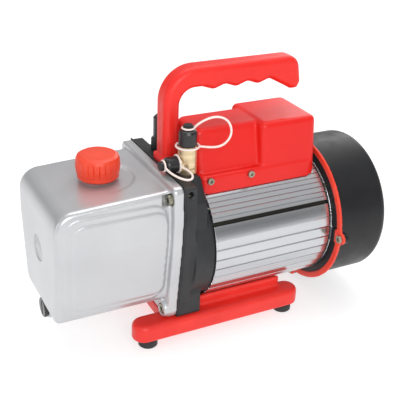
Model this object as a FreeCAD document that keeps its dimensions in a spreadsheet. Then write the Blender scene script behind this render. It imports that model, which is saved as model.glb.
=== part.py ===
import FreeCAD, Part
import math
import os

import Sketcher
from FreeCAD import Placement, Rotation, Vector

# Two-stage oil-sealed rotary vane vacuum pump with a capacitor-run motor, in millimetres.
# X runs along the pump axis from the oil tank (-X) to the fan (+X), +Z is up and z = 0 is the floor.
# Stations along the axis ("..._front", "..._back", "..._x") are measured from the oil tank's front face.
SIZES = {
    # overall
    "front_x": -155.5, "axis_height": 82.0, "fit_gap": 0.05, "joint_gap": 0.3,
    # oil tank casting
    "tank_top_front": 145.0, "tank_top_back": 149.5, "tank_floor": 41.0, "tank_end": 100.0,
    "tank_half_top": 49.5, "tank_half_mid": 52.0, "tank_mid_height": 108.0, "tank_half_floor": 42.5,
    "tank_wall": 4.0, "tank_brow": 17.0, "tank_round_floor": 9.0, "tank_edge": 4.5,
    "rim_front": 7.5, "rim_floor": 49.0, "rim_top": 139.5, "rim_round": 13.0, "rim_rise": 0.9,
    "panel_front": 14.0, "panel_back": 93.5, "panel_floor": 54.0, "panel_top": 133.0,
    "panel_round": 10.0, "panel_rise": 1.8,
    "pad_radius": 30.0, "pad_height": 147.3,
    "cap_x": 54.0, "neck_radius": 13.0, "neck_top": 148.6, "neck_bore": 10.0,
    "sight_height": 94.0, "sight_radius": 11.0, "sight_bore": 8.5, "sight_depth": 2.6,
    "drain_height": 35.0, "drain_boss_front": 4.0, "drain_boss_back": 30.0, "drain_boss_radius": 10.3,
    "drain_bore": 5.1, "drain_well": 22.0, "drain_way_x": 17.0, "drain_way": 4.0,
    # tank flange and its bolts
    "flange_front": 97.0, "flange_back": 106.0, "flange_top": 154.0, "flange_floor": 25.0,
    "flange_half_top": 56.5, "flange_half_wide": 58.0, "flange_wide_height": 125.0,
    "flange_half_waist": 56.0, "flange_waist_height": 95.0, "flange_half_floor": 47.0,
    "flange_corner": 6.0, "opening_half_top": 43.0, "opening_top": 140.0, "opening_half_mid": 46.5,
    "opening_half_floor": 36.0, "opening_floor": 45.0,
    "bolt_half_top": 50.0, "bolt_height_top": 142.5, "bolt_half_floor": 41.0, "bolt_height_floor": 33.5,
    "bolt_head": 4.3, "bolt_head_deep": 5.0, "bolt_shank": 2.5, "bolt_clear": 2.6, "bolt_sink": 4.9,
    "bolt_seat": 99.0, "bolt_end": 116.0, "bolt_sink_front": 90.0, "lug_front": 93.5, "lug_radius": 7.5,
    # middle bracket
    "bracket_front": 107.0, "bracket_web": 118.0, "bracket_back": 136.5, "bracket_radius": 58.0,
    "platform_top": 153.0, "platform_half": 38.0, "platform_back": 131.0, "shoulder_half": 51.0,
    "shoulder_height": 134.0, "pedestal_back": 129.0, "pedestal_half": 48.0, "pedestal_top": 46.0,
    "web_bore": 10.5, "seal_front": 115.0, "seal_radius": 12.0, "bearing_front": 119.0,
    "bearing_deep": 10.0, "bearing_radius": 16.0, "bearing_boss": 21.0, "boss_back": 130.0,
    "winding_well": 50.0, "winding_well_front": 122.0, "side_hole": 2.6, "side_hole_x": 112.0,
    "side_hole_top": 146.5, "side_hole_floor": 36.0, "side_hole_deep": 7.0,
    # pump module inside the tank
    "pump_front": 60.0, "pump_cylinder_front": 67.0, "pump_radius": 36.0, "pump_bore": 26.0,
    "pump_offset": 2.9, "rotor_radius": 23.0, "rotor_end_gap": 0.1, "journal_radius": 5.0,
    "journal_front": 61.0, "journal_back": 112.0, "slot_root": 8.0, "slot_half": 2.55, "vane_half": 2.5,
    "vane_tip": 22.8, "spring_radius": 1.7, "spring_hole": 2.0, "spring_first": 77.0, "spring_step": 20.0,
    "valve_flat": 33.0, "valve_half": 7.0, "valve_front": 72.0, "valve_back": 102.0, "reed_thick": 0.4,
    "stop_thick": 1.5, "port_radius": 2.5, "valve_screw_first": 75.0, "valve_screw_step": 24.0,
    "pump_bolt_ring": 31.5, "pump_bolt_radius": 2.0, "pump_bolt_head": 3.5, "baffle_height": 126.0,
    "baffle_thick": 1.2, "baffle_half": 36.0, "baffle_back": 94.0, "baffle_leg_half": 12.0,
    "baffle_leg_floor": 102.0, "sleeve_front": 109.5, "sleeve_back": 114.5, "sleeve_radius": 9.0,
    # motor
    "housing_back": 254.0, "housing_radius": 59.5, "housing_bore": 51.6, "groove_deep": 1.1,
    "groove_half": 0.9, "slot_deep": 5.0, "slot_open_half": 2.4, "slot_angle": 30.0,
    "tie_ring": 55.6, "tie_radius": 1.9, "tie_hole": 2.0, "tie_front": 130.0, "tie_head": 3.4,
    "tie_head_deep": 3.0, "core_front": 165.0, "core_back": 225.0, "core_radius": 51.5,
    "core_bore": 33.4, "winding_front": 147.0, "winding_inner": 36.0,
    "winding_outer": 47.5, "rotor_core_radius": 33.0, "rotor_core_front": 162.0,
    "rotor_core_back": 228.0, "shaft_front": 112.2, "shaft_back": 291.0, "shaft_radius": 6.0,
    "shaft_core_radius": 8.0, "shaft_tip_back": 115.0,
    "bell_back": 257.0, "bell_radius": 58.0, "spigot_front": 250.0, "spigot_radius": 51.5,
    "rear_boss_front": 242.0, "rear_bearing_front": 243.0, "ring_front": 255.0, "ring_back": 257.5,
    "ring_inner": 64.5, "ring_outer": 70.5, "spoke_front": 254.5, "spoke_half": 6.0,
    "spoke_reach": 67.0, "ear_ring": 71.0, "ear_radius": 5.5, "ear_screw": 1.9, "ear_hole": 2.0,
    "ear_head": 3.6, "ear_head_deep": 2.4, "ear_boss_back": 261.0, "ear_boss": 5.0,
    # fan and its cover
    "fan_front": 269.0, "fan_back": 288.0, "fan_radius": 59.0, "fan_hub": 15.0, "fan_disc": 272.0,
    "blade_half": 1.2, "clip_back": 289.5, "clip_radius": 9.0,
    "cover_back": 311.0, "cover_radius": 67.0, "cover_wall": 2.5, "cover_round": 8.0,
    "grille_inner": 16.0, "grille_outer": 52.0, "grille_mid": 34.0, "grille_bar": 2.0, "grille_half": 1.9,
    # terminal box on the motor
    "box_front": 131.5, "box_back": 247.0, "box_floor": 128.0, "skirt_top": 148.0, "skirt_half": 34.5,
    "skirt_half_top": 33.0, "rear_block_front": 191.0, "rear_block_top": 186.0, "rear_block_half": 28.5,
    "front_block_top": 185.0, "front_block_half_floor": 29.3, "front_block_half": 18.5,
    "box_round": 5.0, "box_corner": 8.0, "block_corner": 6.0, "box_wall": 2.5, "skirt_roof": 1.5,
    "box_saddle": 60.0, "box_screw_height": 144.0,
    "box_screw_first": 141.0, "box_screw_last": 180.0, "box_screw_radius": 1.25, "box_screw_hole": 1.35,
    "box_screw_head": 3.1, "box_screw_out": 36.0, "vent_half": 1.0, "vent_pitch": 4.0, "vent_floor": 150.0,
    "vent_top": 172.0, "tray_floor": 141.5, "tray_thick": 1.2, "tray_half": 29.5, "tray_front": 136.0,
    "tray_back": 240.0, "tray_tab_top": 146.4, "tray_tab_back": 186.0, "tray_screw_first": 146.0,
    "tray_screw_last": 232.0, "tray_screw_radius": 1.9, "tray_screw_end": 136.0,
    "capacitor_front": 139.0, "capacitor_back": 199.0, "capacitor_radius": 15.5,
    "capacitor_height": 161.0, "block_front": 203.0, "block_back": 221.0, "block_half": 16.0,
    "block_top": 157.0,
    "inlet_half": 13.5, "inlet_centre": -7.5, "inlet_floor": 153.5, "inlet_top": 174.5,
    "inlet_inside": 226.0, "inlet_lip": 249.0, "inlet_rim": 1.5, "socket_half": 11.5,
    "socket_floor": 156.5, "socket_top": 171.5, "socket_deep": 232.0,
    "switch_centre": 14.0, "switch_half": 6.0, "switch_inside": 233.0, "rocker_half": 4.4,
    "rocker_floor": 156.0, "rocker_top": 172.0, "rocker_pivot_x": 245.0, "rocker_deep": 238.0,
    "rocker_lip": 249.6, "rocker_dish": 248.6, "rocker_tilt": 6.0,
    # base and feet
    "runner_floor": 9.0, "runner_top": 25.0, "runner_centre": 41.5, "runner_half": 11.0,
    "runner_front": 67.0, "runner_back": 232.0, "runner_round": 4.5, "saddle_front": 97.0,
    "saddle_back": 215.0, "saddle_half": 39.0, "saddle_floor": 14.0, "saddle_top": 34.5,
    "saddle_radius": 59.55, "foot_front": 81.5, "foot_back": 219.0,
    "foot_radius": 8.5, "foot_neck": 7.0, "foot_sink": 4.6, "foot_screw_radius": 2.2,
    "foot_screw_top": 21.0, "base_bolt_radius": 2.9, "base_bolt_head": 4.8, "base_bolt_x": 120.0,
    "base_bolt_y": 40.0, "base_bolt_top": 40.0,
    # carrying handle
    "handle_foot_front": 107.5, "handle_foot_back": 127.0, "handle_foot_top": 159.0,
    "handle_foot_half": 13.0, "post_front": 109.2, "post_back": 123.6, "handle_half": 10.0,
    "grip_top": 235.5, "grip_floor": 213.8, "grip_valley": 217.6, "grip_tip": 198.0, "grip_pitch": 21.5,
    "grip_half_pitch": 10.75, "hook_front": 226.0,
    "hook_back": 240.5, "hook_floor": 205.5, "bend_outer": 30.0, "bend_inner": 14.0,
    "hook_round": 12.0, "handle_round": 5.5, "stud_radius": 4.0, "stud_floor": 132.0, "stud_top": 185.0,
    # ports on the bracket
    "port_x": 122.5, "port_y": 26.0, "stem_floor": 142.0, "stem_radius": 5.0, "port_hex": 8.2,
    "port_body": 8.1, "port_neck": 175.0, "thread_top": 185.3, "thread_radius": 5.5,
    "port_bore": 3.3, "passage_height": 134.0, "passage_radius": 3.5, "screen_radius": 4.6,
    "screen_floor": 135.0, "side_port_height": 161.5, "side_thread": 5.5, "side_thread_front": 106.5,
    "side_neck_front": 112.8, "side_neck": 6.0, "side_bore": 2.4,
    "cap_floor": 176.9, "cap_top": 190.7, "cap_radius": 7.7, "cap_bore": 5.8, "cap_shoulder": 3.0,
    "cap_roof": 186.6, "knob_neck": 3.2, "knob_neck_top": 192.7, "knob_radius": 4.5, "knob_top": 194.6,
    "side_cap_back": 112.5, "side_cap_front": 102.5, "side_cap_radius": 6.6, "side_cap_bore": 5.8,
    "side_cap_roof": 105.2, "side_knob_neck": 2.6, "side_knob_neck_front": 100.0, "side_knob": 4.0,
    "side_knob_front": 97.0,
    "exhaust_base": 9.0, "exhaust_base_top": 164.0, "exhaust_neck": 5.6, "exhaust_neck_top": 176.0,
    "exhaust_cap": 7.2, "exhaust_cap_bore": 5.9, "exhaust_cap_floor": 165.1, "exhaust_cap_roof": 177.5,
    "exhaust_cap_top": 184.5,
    "tether": 0.9, "tether_ring": 9.5, "tether_ring_height": 175.9, "tether_knob_ring": 4.9,
    "tether_knob_height": 191.7, "tether_reach": 26.0, "side_tether_ring": 7.0, "side_ring_x": 113.5,
    "side_knob_ring": 4.3, "side_knob_ring_x": 101.0,
    # oil filler cap and drain plug
    "filler_radius": 18.5, "filler_floor": 149.6, "filler_top": 170.5, "filler_band_top": 154.0,
    "filler_band": 17.3, "filler_plug": 9.6, "filler_plug_floor": 138.0, "filler_rib_half": 1.5,
    "filler_rib_deep": 0.9, "filler_seal_inner": 10.4, "filler_seal_outer": 12.8,
    "drain_front": 0.3, "drain_head_back": 3.2, "drain_head": 9.0, "drain_plug_back": 13.0,
    "drain_plug_radius": 4.8, "drain_washer": 7.6,
    "drain_slot_half": 1.2, "drain_slot_reach": 6.5, "drain_slot_deep": 1.6,
}

doc = FreeCAD.newDocument("vacuum_pump")
NODES = []


def fill_sheet():
    """Put every driving dimension in a cell of its own, under its name."""
    sheet = doc.addObject("Spreadsheet::Sheet", "dims")
    for row, (alias, value) in enumerate(SIZES.items(), 1):
        sheet.set("A%d" % row, alias)
        sheet.set("B%d" % row, str(value))
        sheet.setAlias("B%d" % row, alias)
    doc.recompute()
    return sheet


SHEET = fill_sheet()


def total(text):
    """Value of a sum of dimension names and numbers, such as 'cap_top - 1.5'."""
    value = 0.0
    sign = 1.0
    for word in text.split():
        if word in ("+", "-"):
            sign = 1.0 if word == "+" else -1.0
        else:
            value += sign * float(getattr(SHEET, word) if word in SIZES else word)
    return value


def formula(text):
    """The same sum as an expression on the sheet."""
    return " ".join("dims." + word if word in SIZES else word for word in text.split())


def bind(item, place, text):
    item.setExpression(place, formula(text))


# ---------------------------------------------------------------- building blocks

def new_body(name, x="0", y="0", z="0", node=True):
    body = doc.addObject("PartDesign::Body", name)
    body.Label = name
    bind(body, "Placement.Base.x", "front_x + " + x)
    bind(body, "Placement.Base.y", y)
    bind(body, "Placement.Base.z", z)
    if node:
        NODES.append(body)
    return body


def origin_part(body, role):
    return next(item for item in body.Origin.OriginFeatures if item.Role == role)


def pin_point(sketch, element, end, u, v):
    """Tie one point of a sketch to its place by two bound distances from the sketch's origin."""
    for kind, text, axis in (("DistanceX", u, -2), ("DistanceY", v, -1)):
        if abs(total(text)) < 1e-9:
            sketch.addConstraint(Sketcher.Constraint("PointOnObject", element, end, axis))
        else:
            index = sketch.addConstraint(Sketcher.Constraint(kind, -1, 1, element, end, total(text)))
            bind(sketch, "Constraints[%d]" % index, text)


def draw(body, plane, offset, *loops):
    """Sketch on an origin plane, moved along its normal: a loop is a list of corners or a circle."""
    sketch = body.newObject("Sketcher::SketchObject", body.Name + "_sketch")
    sketch.AttachmentSupport = [(origin_part(body, plane), "")]
    sketch.MapMode = "FlatFace"
    bind(sketch, "AttachmentOffset.Base.z", offset)
    for loop in loops:
        first = sketch.GeometryCount
        if isinstance(loop, tuple):
            u, v, radius = loop
            circle = Part.Circle(Vector(total(u), total(v), 0), Vector(0, 0, 1), total(radius))
            sketch.addGeometry(circle, False)
            pin_point(sketch, first, 3, u, v)
            index = sketch.addConstraint(Sketcher.Constraint("Radius", first, total(radius)))
            bind(sketch, "Constraints[%d]" % index, radius)
            continue
        places = [Vector(total(u), total(v), 0) for u, v in loop]
        count = len(places)
        for k in range(count):
            sketch.addGeometry(Part.LineSegment(places[k], places[(k + 1) % count]), False)
        for k in range(count):
            joined = first + (k + 1) % count
            sketch.addConstraint(Sketcher.Constraint("Coincident", first + k, 2, joined, 1))
        for k, (u, v) in enumerate(loop):
            pin_point(sketch, first + k, 1, u, v)
    return sketch


def feature(body, kind, sketch, length=None, reverse=False):
    """Pad or pocket a sketch by a bound length."""
    item = body.newObject("PartDesign::" + kind, body.Name + "_" + kind.lower())
    item.Profile = sketch
    item.Reversed = reverse
    bind(item, "Length", length)
    return item


def turn(body, sketch, kind="Revolution", axis="H_Axis"):
    item = body.newObject("PartDesign::" + kind, body.Name + "_" + kind.lower())
    item.Profile = sketch
    item.ReferenceAxis = (sketch, [axis])
    item.Angle = 360
    return item


def ring_pattern(body, original, count, axis="X_Axis", angle=360.0):
    item = body.newObject("PartDesign::PolarPattern", body.Name + "_pattern")
    item.Originals = [original]
    item.Axis = (origin_part(body, axis), [""])
    item.Angle = angle
    item.Occurrences = count
    body.Tip = item
    return item


def round_edges(body, radius, wanted):
    """Fillet the edges of the body's last feature that a test picks out."""
    doc.recompute()
    last = body.Tip
    names = ["Edge%d" % k for k, edge in enumerate(last.Shape.Edges, 1) if wanted(edge)]
    item = body.newObject("PartDesign::Fillet", body.Name + "_round")
    item.Base = (last, names)
    bind(item, "Radius", radius)
    doc.recompute()
    return item


def along(axis):
    """Test for straight edges that run along one axis."""
    def wanted(edge):
        if not isinstance(edge.Curve, Part.Line):
            return False
        return abs(abs(edge.Curve.Direction.dot(axis)) - 1.0) < 1e-6
    return wanted


def turned(name, corners, node=True):
    """A piece turned about the pump axis: corners are (station, radius)."""
    body = new_body(name, z="axis_height", node=node)
    turn(body, draw(body, "XZ_Plane", "0", corners))
    return body


def turned_up(name, x, y, corners, node=True):
    """A piece turned about an upright axis at (x, y): corners are (radius, height)."""
    body = new_body(name, x=x, y=y, node=node)
    turn(body, draw(body, "XZ_Plane", "0", corners), axis="V_Axis")
    return body


def ring(front, back, inner, outer):
    return [(front, inner), (back, inner), (back, outer), (front, outer)]


def rectangle(u0, u1, v0, v1):
    return [(u0, v0), (u1, v0), (u1, v1), (u0, v1)]


def coded(name, shape):
    """A piece whose shape is worked out here from the sheet, in stations from the front face."""
    node = doc.addObject("Part::Feature", name)
    node.Label = name
    node.Shape = shape
    node.Placement = Placement(Vector(total("front_x"), 0, 0), Rotation())
    NODES.append(node)
    return node


def grouped(name, master, moves):
    """Identical fasteners as one group of separate solids, each a moved copy of the first."""
    solids = []
    for move in moves:
        copy = master.Shape.copy()
        copy.Placement = move.multiply(copy.Placement)
        solids.append(copy)
    node = doc.addObject("Part::Feature", name)
    node.Label = name
    node.Shape = Part.makeCompound(solids)
    NODES.append(node)
    return node


def shift(x=0.0, y=0.0, z=0.0):
    return Placement(Vector(x, y, z), Rotation())


def around_axis(angle):
    """Turn about the pump axis."""
    centre = Vector(0, 0, total("axis_height"))
    return Placement(Vector(0, 0, 0), Rotation(Vector(1, 0, 0), angle), centre)


def rod(start, end, radius):
    """Plain cylinder between two points."""
    way = end - start
    return Part.makeCylinder(radius, way.Length, start, way)


def block(x0, x1, y0, y1, z0, z1):
    return Part.makeBox(x1 - x0, y1 - y0, z1 - z0, Vector(x0, y0, z0))


def hex_screw(name, head_front, seat, end, head, shank, socket, deep):
    """Hexagon-socket screw along the pump axis, with its head towards the tank."""
    corners = [(head_front, "0"), (end, "0"), (end, shank), (seat, shank), (seat, head), (head_front, head)]
    body = new_body(name, node=False)
    turn(body, draw(body, "XZ_Plane", "0", corners))
    round_edges(body, "0.5", lambda e: abs(e.BoundBox.XMin - total(head_front)) < 1e-6
                and abs(e.BoundBox.XMax - total(head_front)) < 1e-6)
    hexagon = []
    for k in range(6):
        turned_by = math.radians(60 * k)
        hexagon.append(("%.4f" % (socket * math.cos(turned_by)), "%.4f" % (socket * math.sin(turned_by))))
    feature(body, "Pocket", draw(body, "YZ_Plane", head_front, hexagon), deep, reverse=True)
    return body


# ---------------------------------------------------------------- oil tank and flange

def shield(half_top, top, half_mid, mid, half_floor, floor, x):
    """Closed six-sided outline of the tank in the plane at station x."""
    points = [Vector(x, -half_top, top), Vector(x, half_top, top), Vector(x, half_mid, mid),
              Vector(x, half_floor, floor), Vector(x, -half_floor, floor), Vector(x, -half_mid, mid)]
    return Part.makePolygon(points + points[:1])


def tank_form(inset, x0, x1):
    """Solid of the tank between two stations, all its faces moved in by an inset."""
    slope = (total("tank_top_back") - total("tank_top_front")) / total("tank_end")
    wires = []
    for x in (x0, x1):
        top = total("tank_top_front") + slope * x - inset
        wires.append(shield(total("tank_half_top") - inset, top, total("tank_half_mid") - inset,
                            total("tank_mid_height"), total("tank_half_floor") - inset,
                            total("tank_floor") + inset, x))
    solid = Part.makeLoft(wires, True, True)
    brow = [e for e in solid.Edges if e.BoundBox.XMax < x0 + 1e-6
        and e.BoundBox.ZMin > total("flange_wide_height")]
    solid = solid.makeFillet(total("tank_brow") - inset, brow)
    floor = [e for e in solid.Edges if e.BoundBox.XLength > 0.9 * (x1 - x0)
             and e.BoundBox.ZMax < total("panel_floor")]
    return solid.makeFillet(total("tank_round_floor") - inset, floor)


def bolt_places():
    """The tank's four bolts, in the flange plane."""
    top = Vector(0, total("bolt_half_top"), total("bolt_height_top"))
    low = Vector(0, total("bolt_half_floor"), total("bolt_height_floor"))
    return [Vector(0, side * place.y, place.z) for place in (top, low) for side in (-1, 1)]


FLANGE = [("- flange_half_top", "flange_top"), ("flange_half_top", "flange_top"),
          ("flange_half_wide", "flange_wide_height"), ("flange_half_waist", "flange_waist_height"),
          ("flange_half_floor", "flange_floor"), ("- flange_half_floor", "flange_floor"),
          ("- flange_half_waist", "flange_waist_height"), ("- flange_half_wide", "flange_wide_height")]
OPENING = [("- opening_half_top", "opening_top"), ("opening_half_top", "opening_top"),
           ("opening_half_mid", "tank_mid_height"), ("opening_half_floor", "opening_floor"),
           ("- opening_half_floor", "opening_floor"), ("- opening_half_mid", "tank_mid_height")]


def prism(corners, front, back):
    """Straight prism along the pump axis from an outline in (y, z)."""
    points = [Vector(total(front), total(u), total(v)) for u, v in corners]
    face = Part.Face(Part.makePolygon(points + points[:1]))
    return face.extrude(Vector(total(back) - total(front), 0, 0))


def oil_tank():
    """Die-cast oil tank: a shell open to the rear, with its flange, filler neck and drain boss."""
    shell = tank_form(0.0, 0.0, total("tank_end"))
    outer = [e for e in shell.Edges if e.BoundBox.XMax < 1e-6 or e.BoundBox.ZMin > total("flange_wide_height")
             and abs(e.CenterOfMass.y) > 1.0 and e.BoundBox.XMin < total("tank_end") - 1.0]
    shell = shell.makeFillet(total("tank_edge"), outer)
    flange = prism(FLANGE, "flange_front", "flange_back")
    corners = [e for e in flange.Edges if e.BoundBox.XLength > 1.0 and abs(e.CenterOfMass.y) < 57.0
               and not 90.0 < e.CenterOfMass.z < 100.0]
    flange = flange.makeFillet(total("flange_corner"), corners)
    front_edges = [e for e in flange.Edges if e.BoundBox.XMax < total("flange_front") + 1e-6]
    flange = flange.makeFillet(1.5, front_edges)
    boss = rod(Vector(total("drain_boss_front"), 0, total("drain_height")),
               Vector(total("drain_boss_back"), 0, total("drain_height")), total("drain_boss_radius"))
    neck = rod(Vector(total("cap_x"), 0, total("opening_top")),
               Vector(total("cap_x"), 0, total("neck_top")), total("neck_radius"))
    lugs = [rod(place + Vector(total("lug_front"), 0, 0), place + Vector(total("flange_back"), 0, 0),
                total("lug_radius")) for place in bolt_places() if place.z < 50.0]
    solid = shell.fuse([flange, boss, neck] + lugs)
    for part in ("rim", "panel"):
        plate = block(total(part + "_front"), total("panel_back"), 20.0, 80.0,
                      total(part + "_floor"), total(part + "_top"))
        plate = plate.makeFillet(total(part + "_round"),
            [e for e in plate.Edges if along(Vector(0, 1, 0))(e)])
        raised = plate.common(tank_form(-total(part + "_rise"), -5.0, 110.0))
        solid = solid.fuse([raised, raised.mirror(Vector(0, 0, 0), Vector(0, 1, 0))])
    cavity = tank_form(total("tank_wall"), total("tank_wall"), total("tank_end"))
    pocket_start = Vector(total("bolt_sink_front") - 2.0, 0, 0)
    pocket_end = Vector(total("tank_end"), 0, 0)
    pocket_walls = [rod(place + pocket_start, place + pocket_end, total("bolt_sink") + 2.0)
                    for place in bolt_places()]
    cavity = cavity.cut(pocket_walls)
    solid = solid.cut(cavity.fuse(prism(OPENING, "tank_end", "flange_back")))
    cuts = [rod(Vector(total("cap_x"), 0, 130.0), Vector(total("cap_x"), 0, 160.0), total("neck_bore"))]
    window_centre = Vector(0, 0, total("sight_height"))
    cuts.append(rod(window_centre - Vector(1, 0, 0), window_centre + Vector(total("sight_depth"), 0, 0),
                    total("sight_radius")))
    cuts.append(rod(window_centre, window_centre + Vector(2 * total("tank_wall"), 0, 0), total("sight_bore")))
    pad = Vector(total("cap_x"), 0, total("pad_height"))
    cuts.append(rod(pad, pad + Vector(0, 0, 10.0), total("pad_radius")).cut(
        rod(pad - Vector(0, 0, 1), pad + Vector(0, 0, 11.0), total("neck_radius"))))
    drain = Vector(0, 0, total("drain_height"))
    cuts.append(rod(drain - Vector(1, 0, 0), drain + Vector(total("drain_boss_front"), 0, 0),
                    total("drain_head") + 0.4))
    cuts.append(rod(drain, drain + Vector(total("drain_well"), 0, 0), total("drain_bore")))
    way = drain + Vector(total("drain_way_x"), 0, 0)
    cuts.append(rod(way, way + Vector(0, 0, 15.0), total("drain_way")))
    for place in bolt_places():
        cuts.append(rod(place + Vector(90, 0, 0), place + Vector(110, 0, 0), total("bolt_clear")))
        cuts.append(rod(place + Vector(total("bolt_sink_front"), 0, 0),
                        place + Vector(total("bolt_seat"), 0, 0), total("bolt_sink")))
    coded("oil_tank", solid.cut(cuts).removeSplitter())


def tank_fittings():
    """Gasket, bolts, sight glass, filler cap, drain plug and their seals."""
    gasket = new_body("tank_gasket")
    holes = [(side + "bolt_half_" + level, "bolt_height_" + level, "bolt_clear")
             for side in ("", "- ") for level in ("top", "floor")]
    feature(gasket, "Pad", draw(gasket, "YZ_Plane", "flange_back", FLANGE, OPENING, *holes),
            "bracket_front - flange_back")
    bolt = hex_screw("tank_bolt", "bolt_seat - bolt_head_deep", "bolt_seat", "bolt_end",
                     "bolt_head", "bolt_shank", 2.3, "2.5")
    doc.recompute()
    grouped("tank_bolts", bolt, [shift(0, p.y, p.z) for p in bolt_places()])
    glass = turned("sight_glass", ring("0.6", "sight_depth", "0", "sight_radius - fit_gap"))
    glass.setExpression("Placement.Base.z", "dims.sight_height")

    seal = turned_up("filler_seal", "cap_x", "0", [
        ("filler_seal_inner", "neck_top"), ("filler_seal_outer", "neck_top"),
        ("filler_seal_outer", "filler_floor"), ("filler_seal_inner", "filler_floor")])
    cap = turned_up("oil_filler_cap", "cap_x", "0", [
        ("0", "filler_plug_floor"), ("filler_plug", "filler_plug_floor"), ("filler_plug", "filler_floor"),
        ("filler_band - 1.2", "filler_floor"), ("filler_band", "filler_floor + 1.2"),
        ("filler_band", "filler_band_top"), ("filler_radius - 0.7", "filler_band_top + 0.6"),
        ("filler_radius", "filler_band_top + 6"), ("filler_radius - 0.5", "filler_top - 4.5"),
        ("filler_radius - 1.5", "filler_top - 2"), ("filler_radius - 4", "filler_top - 0.6"),
        ("0", "filler_top")])
    notch = feature(cap, "Pocket", draw(cap, "XY_Plane", "filler_top", [
        ("filler_radius - filler_rib_deep", "0"), ("filler_radius + 1", "- filler_rib_half"),
        ("filler_radius + 1", "filler_rib_half")]), "filler_top - filler_band_top - 0.8")
    ring_pattern(cap, notch, 24, axis="Z_Axis")

    washer = turned("drain_washer", ring("drain_head_back", "drain_boss_front", "drain_plug_radius + 0.1",
                                         "drain_washer"))
    plug = turned("drain_plug", [
        ("drain_front", "0"), ("drain_plug_back", "0"), ("drain_plug_back", "drain_plug_radius"),
        ("drain_head_back", "drain_plug_radius"), ("drain_head_back", "drain_head"),
        ("drain_front + 0.8", "drain_head"), ("drain_front", "drain_head - 0.8")])
    feature(plug, "Pocket", draw(plug, "YZ_Plane", "drain_front", rectangle(
        "- drain_slot_half", "drain_slot_half", "- drain_slot_reach", "drain_slot_reach")),
        "drain_slot_deep", reverse=True)
    for item in (washer, plug):
        item.setExpression("Placement.Base.z", "dims.drain_height")


# ---------------------------------------------------------------- bracket

def bracket():
    """Middle casting: carries the tank, pump, motor, handle and ports, and stands on the base."""
    body = new_body("bracket")
    plate = [("- flange_half_top", "platform_top"), ("flange_half_top", "platform_top")] + FLANGE[2:]
    feature(body, "Pad", draw(body, "YZ_Plane", "bracket_front", plate), "bracket_web - bracket_front")
    shoulders = [("- platform_half", "platform_top"), ("platform_half", "platform_top"),
                 ("shoulder_half", "shoulder_height"), ("shoulder_half", "axis_height"),
                 ("- shoulder_half", "axis_height"), ("- shoulder_half", "shoulder_height")]
    feature(body, "Pad", draw(body, "YZ_Plane", "bracket_web", shoulders), "platform_back - bracket_web")
    feature(body, "Pad", draw(body, "YZ_Plane", "bracket_web", ("0", "axis_height", "bracket_radius")),
            "bracket_back - bracket_web")
    feature(body, "Pad", draw(body, "YZ_Plane", "bracket_front", rectangle(
        "- pedestal_half", "pedestal_half", "runner_top", "pedestal_top")), "pedestal_back - bracket_front")

    def platform_corner(edge):
        box = edge.BoundBox
        back = abs(box.XMin - total("platform_back")) < 1e-6 and abs(box.XMax - total("platform_back")) < 1e-6
        return back and box.ZMin > total("shoulder_height") - 1.0

    round_edges(body, "5", platform_corner)
    bore = draw(body, "XZ_Plane", "0", [
        ("bracket_front - 1", "axis_height"), ("bracket_back + 1", "axis_height"),
        ("bracket_back + 1", "axis_height + winding_well"),
        ("winding_well_front", "axis_height + winding_well"),
        ("winding_well_front", "axis_height + bearing_boss"), ("boss_back", "axis_height + bearing_boss"),
        ("boss_back", "axis_height + bearing_radius + fit_gap"),
        ("bearing_front", "axis_height + bearing_radius + fit_gap"),
        ("bearing_front", "axis_height + seal_radius + fit_gap"),
        ("seal_front", "axis_height + seal_radius + fit_gap"), ("seal_front", "axis_height + web_bore"),
        ("bracket_front - 1", "axis_height + web_bore")])
    groove = body.newObject("PartDesign::Groove", "bracket_groove")
    groove.Profile = bore
    groove.ReferenceAxis = (bore, ["Edge1"])
    groove.Angle = 360
    holes = [(side + half, height, "bolt_clear") for side in ("- ", "") for half, height in (
        ("bolt_half_top", "bolt_height_top"), ("bolt_half_floor", "bolt_height_floor"))]
    feature(body, "Pocket", draw(body, "YZ_Plane", "bracket_front", *holes),
            "bolt_end - bracket_front + 0.5", reverse=True)
    for side, flip in (("", False), ("- ", True)):
        spots = [("side_hole_x", "side_hole_top", "side_hole"),
            ("side_hole_x", "side_hole_floor", "side_hole")]
        feature(body, "Pocket", draw(body, "XZ_Plane", side + "flange_half_wide", *spots),
                "side_hole_deep + 4", reverse=flip)
    ways = [("port_x", side + "port_y", "stem_radius + fit_gap") for side in ("", "- ")]
    feature(body, "Pocket", draw(body, "XY_Plane", "platform_top", *ways),
        "platform_top - passage_height + 5")
    passages = [(side + "port_y", "passage_height", "passage_radius") for side in ("", "- ")]
    feature(body, "Pocket", draw(body, "YZ_Plane", "bracket_front", *passages), "port_x - bracket_front",
            reverse=True)
    feature(body, "Pocket", draw(body, "XY_Plane", "platform_top",
        ("post_front + 7", "0", "stud_radius + fit_gap")),
            "platform_top - stud_floor")
    base_bolts = [("base_bolt_x", side + "base_bolt_y", "base_bolt_radius + 0.1") for side in ("", "- ")]
    feature(body, "Pocket", draw(body, "XY_Plane", "runner_top", *base_bolts),
            "base_bolt_top - runner_top + 1", reverse=True)
    tie_holes(body, "bracket_back", "bracket_back - tie_front + 0.5", False, "axis_height")
    feature(body, "Pocket", draw(body, "YZ_Plane", "bracket_front", *[
        circle_at(y, z, "pump_bolt_radius + 0.1", "axis_height") for y, z in pump_bolt_places()]),
        "8.5", reverse=True)


def circle_at(y, z, radius, height="0"):
    """Circle of a sketch at numbers worked out from the sheet."""
    return ("%.4f" % y, "%s %s %.4f" % (height, "-" if z < 0 else "+", abs(z)), radius)


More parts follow.
